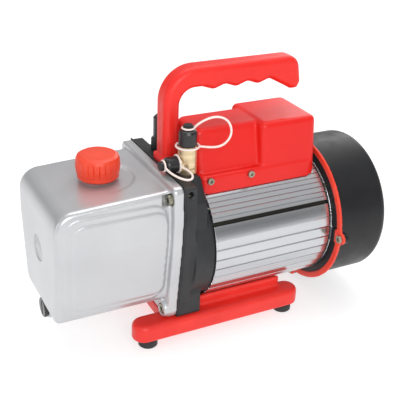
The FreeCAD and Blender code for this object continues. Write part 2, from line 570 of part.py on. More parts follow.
def tie_holes(body, face, length, reverse, height="0"):
    """Four holes for the motor's long tie bolts, at 45 degrees round the pump axis."""
    reach = math.sqrt(0.5) * total("tie_ring")
    circles = [circle_at(a * reach, b * reach, "tie_hole", height) for a in (-1, 1) for b in (-1, 1)]
    return feature(body, "Pocket", draw(body, "YZ_Plane", face, *circles), length, reverse)


def pump_bolt_places():
    """The pump's four long bolts, about the pump axis, clear of the eccentric bore."""
    ring = total("pump_bolt_ring")
    angles = [math.radians(angle) for angle in (45, 135, 215, 325)]
    return [(ring * math.cos(angle), ring * math.sin(angle)) for angle in angles]


# ---------------------------------------------------------------- pump module

def pump_module():
    """The sealed pump inside the tank: eccentric cylinder, rotor, vanes, springs and exhaust valve."""
    cylinder = new_body("pump_cylinder", z="axis_height")
    feature(cylinder, "Pad", draw(cylinder, "YZ_Plane", "pump_cylinder_front", ("0", "0", "pump_radius"),
                                  ("0", "- pump_offset", "pump_bore")), "bracket_front - pump_cylinder_front")
    feature(cylinder, "Pocket", draw(cylinder, "XY_Plane", "pump_radius + 1", rectangle(
        "valve_front - 2", "valve_back + 2", "- valve_half - 1", "valve_half + 1")),
        "pump_radius + 1 - valve_flat")
    feature(cylinder, "Pocket", draw(cylinder, "XY_Plane", "valve_flat",
        ("pump_front + 27", "3", "port_radius")),
            "valve_flat - pump_bore + 6")
    end = turned("pump_end_cover", ring("pump_front", "pump_cylinder_front", "journal_radius + fit_gap",
                                        "pump_radius"))
    rotor = turned("pump_rotor", [
        ("journal_front", "0"), ("journal_back", "0"), ("journal_back", "journal_radius"),
        ("bracket_front - rotor_end_gap", "journal_radius"),
        ("bracket_front - rotor_end_gap", "rotor_radius"),
        ("pump_cylinder_front + rotor_end_gap", "rotor_radius"),
        ("pump_cylinder_front + rotor_end_gap", "journal_radius"), ("journal_front", "journal_radius")])
    slots = [rectangle(root, rim, "- slot_half", "slot_half") for root, rim in (
        ("slot_root", "rotor_radius + 1"), ("- slot_root", "- rotor_radius - 1"))]
    feature(rotor, "Pocket", draw(rotor, "YZ_Plane", "pump_cylinder_front", *slots),
            "bracket_front - pump_cylinder_front", reverse=True)
    spring_holes = [("spring_first", "0", "spring_hole"), ("spring_first + spring_step", "0", "spring_hole")]
    feature(rotor, "Pocket", draw(rotor, "XZ_Plane", "slot_root + 1", *spring_holes),
        "slot_root + slot_root + 2")

    vane = new_body("vane", z="axis_height", node=False)
    feature(vane, "Pad", draw(vane, "YZ_Plane", "pump_cylinder_front + 0.2", rectangle(
        "slot_root + 0.4", "vane_tip", "- vane_half", "vane_half")),
        "bracket_front - pump_cylinder_front - 0.4")
    doc.recompute()
    grouped("vanes", vane, [shift(), around_axis(180)])
    spring = new_body("vane_spring", z="axis_height", node=False)
    feature(spring, "Pad", draw(spring, "XZ_Plane", "- slot_root - 0.3",
        ("spring_first", "0", "spring_radius")),
            "slot_root + slot_root + 0.6")
    doc.recompute()
    grouped("vane_springs", spring, [shift(), shift(x=total("spring_step"))])

    spots = [("valve_screw_first", "0", "1.6"), ("valve_screw_first + valve_screw_step", "0", "1.6")]
    plate = rectangle("valve_front", "valve_back", "- valve_half", "valve_half")
    reed = new_body("exhaust_reed", z="axis_height")
    feature(reed, "Pad", draw(reed, "XY_Plane", "valve_flat", plate, *spots), "reed_thick")
    stop = new_body("reed_stop", z="axis_height")
    feature(stop, "Pad", draw(stop, "XY_Plane", "valve_flat + reed_thick", plate, *spots), "stop_thick")
    screw = turned_up("reed_screw", "valve_screw_first", "0", [
        ("0", "axis_height + valve_flat - 3"), ("1.5", "axis_height + valve_flat - 3"),
        ("1.5", "axis_height + valve_flat + 1.9"), ("2.8", "axis_height + valve_flat + 1.9"),
        ("2.6", "axis_height + valve_flat + 3.4"), ("0", "axis_height + valve_flat + 3.8")], node=False)
    feature(cylinder, "Pocket", draw(cylinder, "XY_Plane", "valve_flat", *spots), "3.2")
    doc.recompute()
    grouped("reed_screws", screw, [shift(), shift(x=total("valve_screw_step"))])

    bolt = hex_screw("pump_bolt", "pump_front - 4.5", "pump_front - 0.0", "bracket_front + 8",
                     "pump_bolt_head", "pump_bolt_radius", 1.7, "2.5")
    doc.recompute()
    grouped("pump_bolts", bolt, [shift(0, y, total("axis_height") + z) for y, z in pump_bolt_places()])
    circles = [circle_at(y, z, "pump_bolt_radius + 0.1") for y, z in pump_bolt_places()]
    for item, face, length in ((cylinder, "pump_cylinder_front", "bracket_front - pump_cylinder_front"),
                               (end, "pump_front", "pump_cylinder_front - pump_front")):
        feature(item, "Pocket", draw(item, "YZ_Plane", face, *circles), length, reverse=True)


def baffle():
    """Bent sheet over the pump that knocks oil mist out of the exhaust air."""
    body = new_body("oil_baffle")
    sheet = [("pump_front - baffle_thick", "baffle_leg_floor"), ("pump_front", "baffle_leg_floor"),
             ("pump_front", "baffle_height"), ("baffle_back", "baffle_height"),
             ("baffle_back", "baffle_height + baffle_thick"),
             ("pump_front - baffle_thick", "baffle_height + baffle_thick")]
    feature(body, "Pad", draw(body, "XZ_Plane", "- baffle_leg_half", sheet),
        "baffle_leg_half + baffle_leg_half")
    feature(body, "Pad", draw(body, "XY_Plane", "baffle_height", rectangle(
        "pump_front - baffle_thick", "baffle_back", "- baffle_half", "baffle_half")), "baffle_thick")


# ---------------------------------------------------------------- motor

def motor():
    """Finned housing, wound stator, rotor on its shaft, bearings, seal and drive sleeve."""
    housing = new_body("motor_housing", z="axis_height")
    length = "housing_back - bracket_back"
    feature(housing, "Pad", draw(housing, "YZ_Plane", "bracket_back", ("0", "0", "housing_radius"),
                                 ("0", "0", "housing_bore")), length)
    notch = [("- housing_radius + groove_deep", "0"), ("- housing_radius - 1", "groove_half"),
             ("- housing_radius - 1", "- groove_half")]
    groove = feature(housing, "Pocket", draw(housing, "YZ_Plane", "bracket_back", notch), length,
        reverse=True)
    ring_pattern(housing, groove, 40)
    middle = math.radians(SIZES["slot_angle"])
    for side in (-1, 1):
        corners = []
        for reach, half in (("in", -1), ("out", -1), ("out", 1), ("in", 1)):
            radius = SIZES["housing_radius"] + (1.0 if reach == "out" else -SIZES["slot_deep"])
            y = side * (radius * math.cos(middle) - half * SIZES["slot_open_half"] * math.sin(middle))
            z = radius * math.sin(middle) + half * SIZES["slot_open_half"] * math.cos(middle)
            corners.append(("%.4f" % y, "%.4f" % z))
        feature(housing, "Pocket", draw(housing, "YZ_Plane", "bracket_back", corners), length, reverse=True)
    tie_holes(housing, "bracket_back", length, True)
    tray_screws = [(place, "0", "tray_screw_radius + 0.1")
        for place in ("tray_screw_first", "tray_screw_last")]
    feature(housing, "Pocket", draw(housing, "XY_Plane", "housing_radius + 1", *tray_screws),
            "housing_radius + 1 - tray_screw_end + axis_height + 0.5")

    core = new_body("stator_core", z="axis_height")
    feature(core, "Pad", draw(core, "YZ_Plane", "core_front", ("0", "0", "core_radius"),
                              ("0", "0", "core_bore")), "core_back - core_front")
    slot = feature(core, "Pocket", draw(core, "YZ_Plane", "core_front", rectangle(
        "- 1.8", "1.8", "core_bore - 1", "core_bore + 9")), "core_back - core_front", reverse=True)
    ring_pattern(core, slot, 24)
    front, back = "winding_front", "core_front - 0.1"
    end_turns = turned("end_turns", [
        (front, "winding_inner + 3"), (front + " + 3", "winding_inner"), (back + " - 3", "winding_inner"),
        (back, "winding_inner + 3"), (back, "winding_outer - 3"), (back + " - 3", "winding_outer"),
        (front + " + 3", "winding_outer"), (front, "winding_outer - 3")], node=False)
    doc.recompute()
    grouped("stator_windings", end_turns, [shift(),
        shift(x=total("core_back") + 0.1 - total("winding_front"))])
    turned("rotor_core", ring("rotor_core_front", "rotor_core_back", "shaft_core_radius + 0.02",
                              "rotor_core_radius"))
    turned("motor_shaft", [
        ("shaft_front", "0"), ("shaft_back", "0"), ("shaft_back", "shaft_radius - 0.05"),
        ("rear_boss_front", "shaft_radius - 0.05"), ("rear_boss_front", "shaft_core_radius"),
        ("boss_back", "shaft_core_radius"), ("boss_back", "shaft_radius - 0.05"),
        ("shaft_tip_back", "shaft_radius - 0.05"), ("shaft_tip_back", "journal_radius"),
        ("shaft_front", "journal_radius")])
    turned("drive_sleeve", ring("sleeve_front", "sleeve_back", "journal_radius + 0.02", "sleeve_radius"))
    turned("shaft_seal", ring("seal_front", "bearing_front", "shaft_radius", "seal_radius"))
    front, back = "bearing_front", "bearing_front + bearing_deep"
    bearing = turned("ball_bearing", [
        (front, "shaft_radius"), (back, "shaft_radius"), (back, "shaft_radius + 3"),
        (back + " - 0.6", "shaft_radius + 3"), (back + " - 0.6", "bearing_radius - 2.5"),
        (back, "bearing_radius - 2.5"), (back, "bearing_radius"), (front, "bearing_radius"),
        (front, "bearing_radius - 2.5"), (front + " + 0.6", "bearing_radius - 2.5"),
        (front + " + 0.6", "shaft_radius + 3"), (front, "shaft_radius + 3")], node=False)
    doc.recompute()
    grouped("ball_bearings", bearing, [shift(),
        shift(x=total("rear_bearing_front") - total("bearing_front"))])
    turned("wave_washer", ring("rear_bearing_front + bearing_deep", "housing_back", "bearing_radius - 4",
                               "bearing_radius - 0.3"))


def ear_places():
    """The fan cover's three screws: near side, far side and bottom."""
    reach = total("ear_ring")
    return [(-reach, 0.0), (reach, 0.0), (0.0, -reach)]


def end_bell():
    """Rear end bell with its open ring, four spokes and three ears for the fan cover."""
    body = new_body("end_bell", z="axis_height")
    profile = [("housing_back", "shaft_radius + 0.4"), ("bell_back", "shaft_radius + 0.4"),
               ("bell_back", "bell_radius - 2"), ("bell_back - 2", "bell_radius"),
               ("housing_back", "bell_radius"), ("housing_back", "spigot_radius"),
               ("spigot_front", "spigot_radius"), ("spigot_front", "spigot_radius - 3"),
               ("housing_back - 1", "spigot_radius - 3"), ("housing_back - 1", "bearing_boss"),
               ("rear_boss_front", "bearing_boss"), ("rear_boss_front", "bearing_radius + fit_gap"),
               ("housing_back", "bearing_radius + fit_gap")]
    turn(body, draw(body, "XZ_Plane", "0", profile))
    spokes = []
    for u0, u1, v0, v1 in (("bell_radius - 5", "spoke_reach", "- spoke_half", "spoke_half"),
                           ("- spoke_reach", "- bell_radius + 5", "- spoke_half", "spoke_half"),
                           ("- spoke_half", "spoke_half", "bell_radius - 5", "spoke_reach"),
                           ("- spoke_half", "spoke_half", "- spoke_reach", "- bell_radius + 5")):
        spokes.append(rectangle(u0, u1, v0, v1))
    feature(body, "Pad", draw(body, "YZ_Plane", "spoke_front", *spokes), "ring_back - spoke_front - 1")
    feature(body, "Pad", draw(body, "YZ_Plane", "ring_front", ("0", "0", "ring_outer"),
        ("0", "0", "ring_inner")),
            "ring_back - ring_front")
    for y, z in ear_places():
        spot = circle_at(y, z, "ear_radius")
        feature(body, "Pad", draw(body, "YZ_Plane", "ring_front", spot), "ring_back - ring_front")
    feature(body, "Pocket", draw(body, "YZ_Plane", "ring_front - 0.5", *[
        circle_at(y, z, "ear_hole") for y, z in ear_places()]), "ring_back - ring_front + 1", reverse=True)
    tie_holes(body, "spigot_front - 1", "bell_back - spigot_front + 2", True)


def motor_bolts():
    """Long tie bolts through the motor, and the fan cover's screws."""
    body = new_body("tie_bolt", z="axis_height", node=False)
    turn(body, draw(body, "XZ_Plane", "0", [
        ("tie_front", "0"), ("bell_back + tie_head_deep", "0"), ("bell_back + tie_head_deep", "tie_head"),
        ("bell_back", "tie_head"), ("bell_back", "tie_radius"), ("tie_front", "tie_radius")]))
    doc.recompute()
    reach = math.sqrt(0.5) * total("tie_ring")
    grouped("tie_bolts", body, [shift(0, a * reach, b * reach) for a in (-1, 1) for b in (-1, 1)])
    screw = hex_screw("cover_screw", "ring_front - ear_head_deep", "ring_front", "ear_boss_back - 2",
                      "ear_head", "ear_screw", 1.7, "1.6")
    doc.recompute()
    grouped("cover_screws", screw, [shift(0, y, z + total("axis_height")) for y, z in ear_places()])


def fan_and_cover():
    body = turned("cooling_fan", [
        ("fan_front", "shaft_radius"), ("fan_back - 4", "shaft_radius"), ("fan_back - 4", "fan_hub - 3"),
        ("fan_disc", "fan_hub"), ("fan_disc", "fan_hub + 14"), ("fan_front", "fan_hub + 14")])
    blade = feature(body, "Pad", draw(body, "YZ_Plane", "fan_front", rectangle(
        "- blade_half", "blade_half", "fan_hub - 3", "fan_radius")), "fan_back - fan_front - 4")
    ring_pattern(body, blade, 9)
    turned("fan_clip", ring("fan_back - 4", "clip_back - 4", "shaft_radius", "clip_radius"))

    cover = new_body("fan_cover", z="axis_height")
    turn(cover, draw(cover, "XZ_Plane", "0", [
        ("ring_back", "cover_radius - cover_wall"),
        ("cover_back - cover_wall - 4", "cover_radius - cover_wall"),
        ("cover_back - cover_wall", "cover_radius - cover_wall - 4"), ("cover_back - cover_wall", "0"),
        ("cover_back", "0"), ("cover_back", "cover_radius"), ("ring_back", "cover_radius")]))
    round_edges(cover, "cover_round", lambda e: abs(e.BoundBox.XMin - total("cover_back")) < 1e-6
                and abs(e.BoundBox.ZLength - 2 * total("cover_radius")) < 1e-3)
    for y, z in ear_places():
        spot = circle_at(y, z, "ear_boss")
        feature(cover, "Pad", draw(cover, "YZ_Plane", "ring_back", spot), "ear_boss_back - ring_back")
    doc.recompute()
    feature(cover, "Pocket", draw(cover, "YZ_Plane", "ring_back", ("0", "0", "cover_radius - cover_wall")),
            "ear_boss_back - ring_back", reverse=True)
    feature(cover, "Pocket", draw(cover, "YZ_Plane", "ring_back", *[
        circle_at(y, z, "ear_hole") for y, z in ear_places()]), "ear_boss_back - ring_back - 1",
        reverse=True)
    for inner, outer, count in (("grille_inner", "grille_mid - grille_bar", 16),
                                ("grille_mid + grille_bar", "grille_outer", 32)):
        slot = feature(cover, "Pocket", draw(cover, "YZ_Plane", "cover_back", rectangle(
            "- grille_half", "grille_half", inner, outer)), "cover_wall + 1")
        ring_pattern(cover, slot, count)


# ---------------------------------------------------------------- terminal box

def tapered(x0, x1, z0, z1, half0, half1, corner=0.0, top=0.0):
    """Block with sloping long sides, its four upright corners and its top edges rounded."""
    wires = []
    for z, half in ((z0, half0), (z1, half1)):
        points = [Vector(x0, -half, z), Vector(x1, -half, z), Vector(x1, half, z), Vector(x0, half, z)]
        wires.append(Part.makePolygon(points + points[:1]))
    solid = Part.makeLoft(wires, True, True)
    if corner:
        solid = solid.makeFillet(corner, [e for e in solid.Edges if e.BoundBox.ZLength > 0.9 * (z1 - z0)])
    if top:
        solid = solid.makeFillet(top, [e for e in solid.Edges if e.BoundBox.ZMin > z1 - 1e-6])
    return solid


def terminal_box():
    """Pressed cover over the capacitor and switch: a narrow front block, a wide rear block, a skirt."""
    x0, x1, step = total("box_front"), total("box_back"), total("rear_block_front")
    floor, ledge = total("box_floor"), total("skirt_top")
    corner, top, wall = total("box_corner"), total("box_round"), total("box_wall")
    skirt = tapered(x0, x1, floor, ledge, total("skirt_half"), total("skirt_half_top"), corner, 3.0)
    rear = tapered(step, x1, floor, total("rear_block_top"), total("skirt_half") - 0.2,
                   total("rear_block_half"), total("block_corner"), top)
    front = tapered(x0, step + 20, floor, total("front_block_top"), total("front_block_half_floor") + 1.5,
                    total("front_block_half"), corner, top)
    solid = skirt.fuse([rear, front]).removeSplitter()
    inner = tapered(x0 + wall, x1 - wall, floor - 1, ledge - total("skirt_roof"), total("skirt_half") - wall,
                    total("skirt_half_top") - wall)
    rear_room = tapered(step + wall, x1 - wall, floor - 1, total("rear_block_top") - wall,
                        total("skirt_half") - 0.2 - wall, total("rear_block_half") - wall - 1.5)
    front_room = tapered(x0 + wall, step + 20, floor - 1, total("front_block_top") - wall,
                         total("front_block_half_floor") - wall, total("front_block_half") - wall - 1.5)
    motor_space = rod(Vector(x0 - 5, 0, total("axis_height")), Vector(x1 + 5, 0, total("axis_height")),
                      total("box_saddle"))
    cuts = [inner, rear_room, front_room, motor_space]
    centre = total("inlet_centre")
    half = total("inlet_half") - total("inlet_rim")
    cuts.append(block(x1 - 6, x1 + 2, centre - half, centre + half,
                      total("inlet_floor") + 1.5, total("inlet_top") - 1.5))
    centre = total("switch_centre")
    half = total("switch_half") - 0.4
    cuts.append(block(x1 - 6, x1 + 2, centre - half, centre + half,
                      total("rocker_floor") - 1.1, total("rocker_top") + 1.1))
    for place in ("box_screw_first", "box_screw_last"):
        spot = Vector(total(place), 0, total("box_screw_height"))
        cuts.append(rod(spot - Vector(0, 50, 0), spot + Vector(0, 50, 0), total("box_screw_hole")))
    for k in range(-3, 4):
        y = k * total("vent_pitch")
        half = total("vent_half")
        cuts.append(block(x0 - 2, x0 + wall + 1, y - half, y + half, total("vent_floor"), total("vent_top")))
    coded("terminal_box", solid.cut(cuts))


def box_contents():
    tray = new_body("box_tray")
    profile = [("- tray_half", "tray_floor"), ("tray_half", "tray_floor"), ("tray_half", "tray_tab_top"),
               ("tray_half - tray_thick", "tray_tab_top"),
               ("tray_half - tray_thick", "tray_floor + tray_thick"),
               ("- tray_half + tray_thick", "tray_floor + tray_thick"),
               ("- tray_half + tray_thick", "tray_tab_top"), ("- tray_half", "tray_tab_top")]
    feature(tray, "Pad", draw(tray, "YZ_Plane", "tray_front", profile), "tray_tab_back - tray_front")
    feature(tray, "Pad", draw(tray, "YZ_Plane", "tray_tab_back - 1", rectangle(
        "- tray_half", "tray_half", "tray_floor", "tray_floor + tray_thick")),
        "tray_back - tray_tab_back + 1")
    spots = [(place, "0", "tray_screw_radius + 0.1") for place in ("tray_screw_first", "tray_screw_last")]
    feature(tray, "Pocket", draw(tray, "XY_Plane", "tray_floor + tray_thick", *spots), "tray_thick + 1")
    sides = [(place, "box_screw_height", "box_screw_hole") for place in ("box_screw_first", "box_screw_last")]
    feature(tray, "Pocket", draw(tray, "XZ_Plane", "tray_half + 1", *sides), "tray_half + tray_half + 2")
    capacitor = turned("capacitor", [
        ("capacitor_front", "0"), ("capacitor_back", "0"), ("capacitor_back", "capacitor_radius - 2"),
        ("capacitor_back - 2", "capacitor_radius"), ("capacitor_front", "capacitor_radius")])
    capacitor.setExpression("Placement.Base.z", "dims.capacitor_height")
    terminals = new_body("terminal_block")
    feature(terminals, "Pad", draw(terminals, "XY_Plane", "tray_floor + tray_thick", rectangle(
        "block_front", "block_back", "- block_half", "block_half")), "block_top - tray_floor - tray_thick")
    screw = turned_up("tray_screw", "tray_screw_first", "0", [
        ("0", "tray_screw_end"), ("tray_screw_radius", "tray_screw_end"),
        ("tray_screw_radius", "tray_floor + tray_thick"), ("3.4", "tray_floor + tray_thick"),
        ("3.0", "tray_floor + tray_thick + 1.4"), ("0", "tray_floor + tray_thick + 1.6")], node=False)
    doc.recompute()
    grouped("tray_screws", screw, [shift(), shift(x=total("tray_screw_last") - total("tray_screw_first"))])
    box_screws()
    power_inlet()
    power_switch()


def box_screws():
    """Four socket screws into the box's long sides."""
    screw = hex_screw("box_screw", "- box_screw_out", "- box_screw_out + 2.4", "- tray_half + 3",
                      "box_screw_head", "box_screw_radius", 1.5, "1.4")
    doc.recompute()
    moves = []
    for side in (1, -1):
        for place in ("box_screw_first", "box_screw_last"):
            turn_to_side = Rotation(Vector(0, 0, 1), 90.0 * side)
            home = Placement(Vector(-total("front_x"), 0, 0), Rotation())
            spot = Vector(total("front_x") + total(place), 0, total("box_screw_height"))
            moves.append(Placement(spot, turn_to_side).multiply(home))
    grouped("box_screws", screw, moves)


def power_inlet():
    """Three-pin appliance inlet in the box's rear wall."""
    body = new_body("power_inlet", y="inlet_centre")
    feature(body, "Pad", draw(body, "YZ_Plane", "box_back", rectangle(
        "- inlet_half", "inlet_half", "inlet_floor", "inlet_top")), "inlet_lip - box_back")
    feature(body, "Pad", draw(body, "YZ_Plane", "inlet_inside", rectangle(
        "- inlet_half + inlet_rim + 0.2", "inlet_half - inlet_rim - 0.2", "inlet_floor + 1.7",
        "inlet_top - 1.7")), "box_back - inlet_inside")
    feature(body, "Pocket", draw(body, "YZ_Plane", "inlet_lip", rectangle(
        "- socket_half + 1", "socket_half - 1", "socket_floor", "socket_top")), "inlet_lip - socket_deep")
    pins = [rectangle("%.1f" % (y - 1), "%.1f" % (y + 1), "%.1f" % (z - 2), "%.1f" % (z + 2))
            for y, z in ((-7.0, 162.0), (7.0, 162.0), (0.0, 166.0))]
    feature(body, "Pad", draw(body, "YZ_Plane", "socket_deep", *pins), "inlet_lip - socket_deep - 2")


def power_switch():
    """Rocker switch beside the inlet: a fixed frame and the rocker on its pivot."""
    body = new_body("switch_frame", y="switch_centre")
    feature(body, "Pad", draw(body, "YZ_Plane", "box_back", rectangle(
        "- switch_half - 0.5", "switch_half + 0.5", "rocker_floor - 2.5", "rocker_top + 2.5")),
        "inlet_lip - box_back - 0.4")
    feature(body, "Pad", draw(body, "YZ_Plane", "switch_inside", rectangle(
        "- switch_half + 0.6", "switch_half - 0.6", "rocker_floor - 0.9", "rocker_top + 0.9")),
        "box_back - switch_inside")
    feature(body, "Pocket", draw(body, "YZ_Plane", "inlet_lip", rectangle(
        "- rocker_half - joint_gap", "rocker_half + joint_gap", "rocker_floor", "rocker_top")),
        "inlet_lip - rocker_deep + 2")

    rocker = doc.addObject("PartDesign::Body", "switch_rocker")
    rocker.Label = "switch_rocker"
    NODES.append(rocker)
    bind(rocker, "Placement.Base.x", "front_x + rocker_pivot_x")
    bind(rocker, "Placement.Base.y", "switch_centre")
    middle = 0.5 * (total("rocker_floor") + total("rocker_top"))
    rocker.Placement.Base.z = middle
    rocker.Placement.Rotation = Rotation(Vector(0, 1, 0), total("rocker_tilt"))
    half = 0.5 * (total("rocker_top") - total("rocker_floor")) - 0.9
    lip = total("rocker_lip") - total("rocker_pivot_x")
    dish = total("rocker_dish") - total("rocker_pivot_x")
    corners = [(dish, 0.0), (lip, half - 0.6), (lip - 1.0, half), (-1.0, half - 0.8), (-4.5, 1.5),
               (-4.5, -1.5), (-1.0, -half + 0.8), (lip - 1.0, -half), (lip, -half + 0.6)]
    outline = [("%.3f" % u, "%.3f" % v) for u, v in corners]
    feature(rocker, "Pad", draw(rocker, "XZ_Plane", "- rocker_half", outline), "rocker_half + rocker_half")


# ---------------------------------------------------------------- base, feet, handle

def base():
    """Two rubber-footed runners joined by the saddle that the motor rests in."""
    body = new_body("base")
    feature(body, "Pad", draw(body, "XY_Plane", "saddle_floor", rectangle(
        "saddle_front", "saddle_back", "- saddle_half", "saddle_half")), "saddle_top - saddle_floor")
    for side in ("", "- "):
        inner, outer = ("runner_centre - runner_half", "runner_centre + runner_half")
        if side:
            inner, outer = ("- runner_centre - runner_half", "- runner_centre + runner_half")
        feature(body, "Pad", draw(body, "XY_Plane", "runner_floor", rectangle(
            "runner_front", "runner_back", inner, outer)), "runner_top - runner_floor")

    def runner_end(edge):
        box = edge.BoundBox
        upright = box.ZLength > 15.0 and box.XLength < 1e-6 and box.YLength < 1e-6
        return upright and (box.XMin < total("runner_front") + 1 or box.XMin > total("runner_back") - 1)

    round_edges(body, "runner_half - 0.1", runner_end)

    def runner_top_edge(edge):
        box = edge.BoundBox
        outside = max(abs(box.YMin), abs(box.YMax)) > total("runner_centre") + 1
        return abs(box.ZMin - total("runner_top")) < 1e-6 and box.ZLength < 1e-6 and outside

    round_edges(body, "runner_round", runner_top_edge)
    feature(body, "Pocket", draw(body, "YZ_Plane", "saddle_front - 40",
        ("0", "axis_height", "saddle_radius")),
            "saddle_back - saddle_front + 80", reverse=True)
    feature(body, "Pocket", draw(body, "XY_Plane", "runner_top", rectangle(
        "saddle_front - 5", "pedestal_back + 0.4", "- saddle_half - 9.5", "saddle_half + 9.5")),
        "20", reverse=True)
    spots = [(x, side + "runner_centre", "foot_screw_radius + 0.1") for x in ("foot_front", "foot_back")
             for side in ("", "- ")]
    feature(body, "Pocket", draw(body, "XY_Plane", "runner_floor - 1", *spots),
            "foot_screw_top - runner_floor + 1.5", reverse=True)
    bolts = [("base_bolt_x", side + "base_bolt_y", "base_bolt_radius + 0.1") for side in ("", "- ")]
    feature(body, "Pocket", draw(body, "XY_Plane", "runner_floor - 1", *bolts), "40", reverse=True)
    sinks = [("base_bolt_x", side + "base_bolt_y", "base_bolt_head + 0.3") for side in ("", "- ")]
    feature(body, "Pocket", draw(body, "XY_Plane", "runner_floor - 1", *sinks), "7", reverse=True)


def feet():
    foot = turned_up("foot", "foot_front", "runner_centre", [
        ("foot_screw_radius + 0.1", "runner_floor"), ("foot_screw_radius + 0.1", "4"), ("foot_sink", "4"),
        ("foot_sink", "0"), ("foot_radius - 1", "0"), ("foot_radius", "1"),
        ("foot_radius", "runner_floor - 2.5"), ("foot_neck", "runner_floor")], node=False)
    screw = turned_up("foot_screw", "foot_front", "runner_centre", [
        ("0", "1.2"), ("foot_sink - 0.6", "1.2"), ("foot_sink - 0.4", "3.4"), ("foot_sink - 1", "4"),
        ("foot_screw_radius", "4"), ("foot_screw_radius", "foot_screw_top"), ("0", "foot_screw_top")],
        node=False)
    bolt = turned_up("base_bolt", "base_bolt_x", "base_bolt_y", [
        ("0", "runner_floor + 1"), ("base_bolt_head", "runner_floor + 1"),
        ("base_bolt_head", "runner_floor + 6"),
        ("base_bolt_radius", "runner_floor + 6"), ("base_bolt_radius", "base_bolt_top"),
        ("0", "base_bolt_top")],
        node=False)
    doc.recompute()
    across = -2 * total("runner_centre")
    back = total("foot_back") - total("foot_front")
    corners = [(x, y) for x in (0, back) for y in (0, across)]
    grouped("rubber_feet", foot, [shift(x, y) for x, y in corners])
    grouped("foot_screws", screw, [shift(x, y) for x, y in corners])
    grouped("base_bolts", bolt, [shift(), shift(y=-2 * total("base_bolt_y"))])


def handle():
    """Carrying handle: one post, a grip with finger scallops and a hooked end."""
    body = new_body("handle")
    outline = [("post_front", "platform_top"), ("post_back", "platform_top"), ("post_back", "grip_valley"),
               ("grip_tip - grip_pitch - grip_pitch - grip_half_pitch", "grip_valley")]
    for tip in ("grip_tip - grip_pitch - grip_pitch", "grip_tip - grip_pitch", "grip_tip"):
        outline += [(tip, "grip_floor"), (tip + " + grip_half_pitch", "grip_valley")]
    outline += [("hook_front", "hook_floor + 3"), ("hook_front + 5", "hook_floor"),
        ("hook_back - 3", "hook_floor"),
                ("hook_back", "hook_floor + 6"), ("hook_back - 4", "grip_top"), ("post_front", "grip_top")]
    feature(body, "Pad", draw(body, "XZ_Plane", "- handle_half", outline), "handle_half + handle_half")

    def corner_at(u, v):
        def wanted(edge):
            place = edge.CenterOfMass
            return edge.BoundBox.YLength > 15 and (place.sub(Vector(total(u), 0, total(v)))).Length < 0.05
        return wanted

    round_edges(body, "bend_outer", corner_at("post_front", "grip_top"))
    round_edges(body, "bend_inner", corner_at("post_back", "grip_valley"))
    round_edges(body, "hook_round", corner_at("hook_back - 4", "grip_top"))

    def wavy(edge):
        place = edge.CenterOfMass
        on_wave = (total("post_back") + 12 < place.x < total("hook_front")
                   and place.z < total("grip_valley") + 1)
        return edge.BoundBox.YLength > 15 and on_wave

    round_edges(body, "6", wavy)

    def hook_tip(edge):
        place = edge.CenterOfMass
        return (edge.BoundBox.YLength > 15 and place.z < total("hook_floor") + 7
                and place.x > total("hook_front") - 1)

    round_edges(body, "2.5", hook_tip)

    def rim(edge):
        box = edge.BoundBox
        at_side = abs(abs(edge.CenterOfMass.y) - total("handle_half")) < 1e-6 and box.YLength < 1e-6
        return at_side and box.ZMax > total("platform_top") + 0.01

    round_edges(body, "handle_round", rim)
    feature(body, "Pad", draw(body, "XY_Plane", "platform_top", rectangle(
        "handle_foot_front", "handle_foot_back", "- handle_foot_half", "handle_foot_half")),
        "handle_foot_top - platform_top")

    def foot_rim(edge):
        box = edge.BoundBox
        upright = box.ZLength > 5 and box.XLength < 1e-6 and box.YLength < 1e-6
        return upright and abs(abs(box.YMin) - total("handle_foot_half")) < 1e-6

    round_edges(body, "5", foot_rim)
    feature(body, "Pocket", draw(body, "XY_Plane", "platform_top - 1",
        ("post_front + 7", "0", "stud_radius + fit_gap")),
            "stud_top - platform_top + 1.5", reverse=True)
    turned_up("handle_stud", "post_front + 7", "0", [
        ("0", "stud_floor + 0.5"), ("stud_radius", "stud_floor + 0.5"), ("stud_radius", "stud_top"),
        ("0", "stud_top")])


# ---------------------------------------------------------------- ports

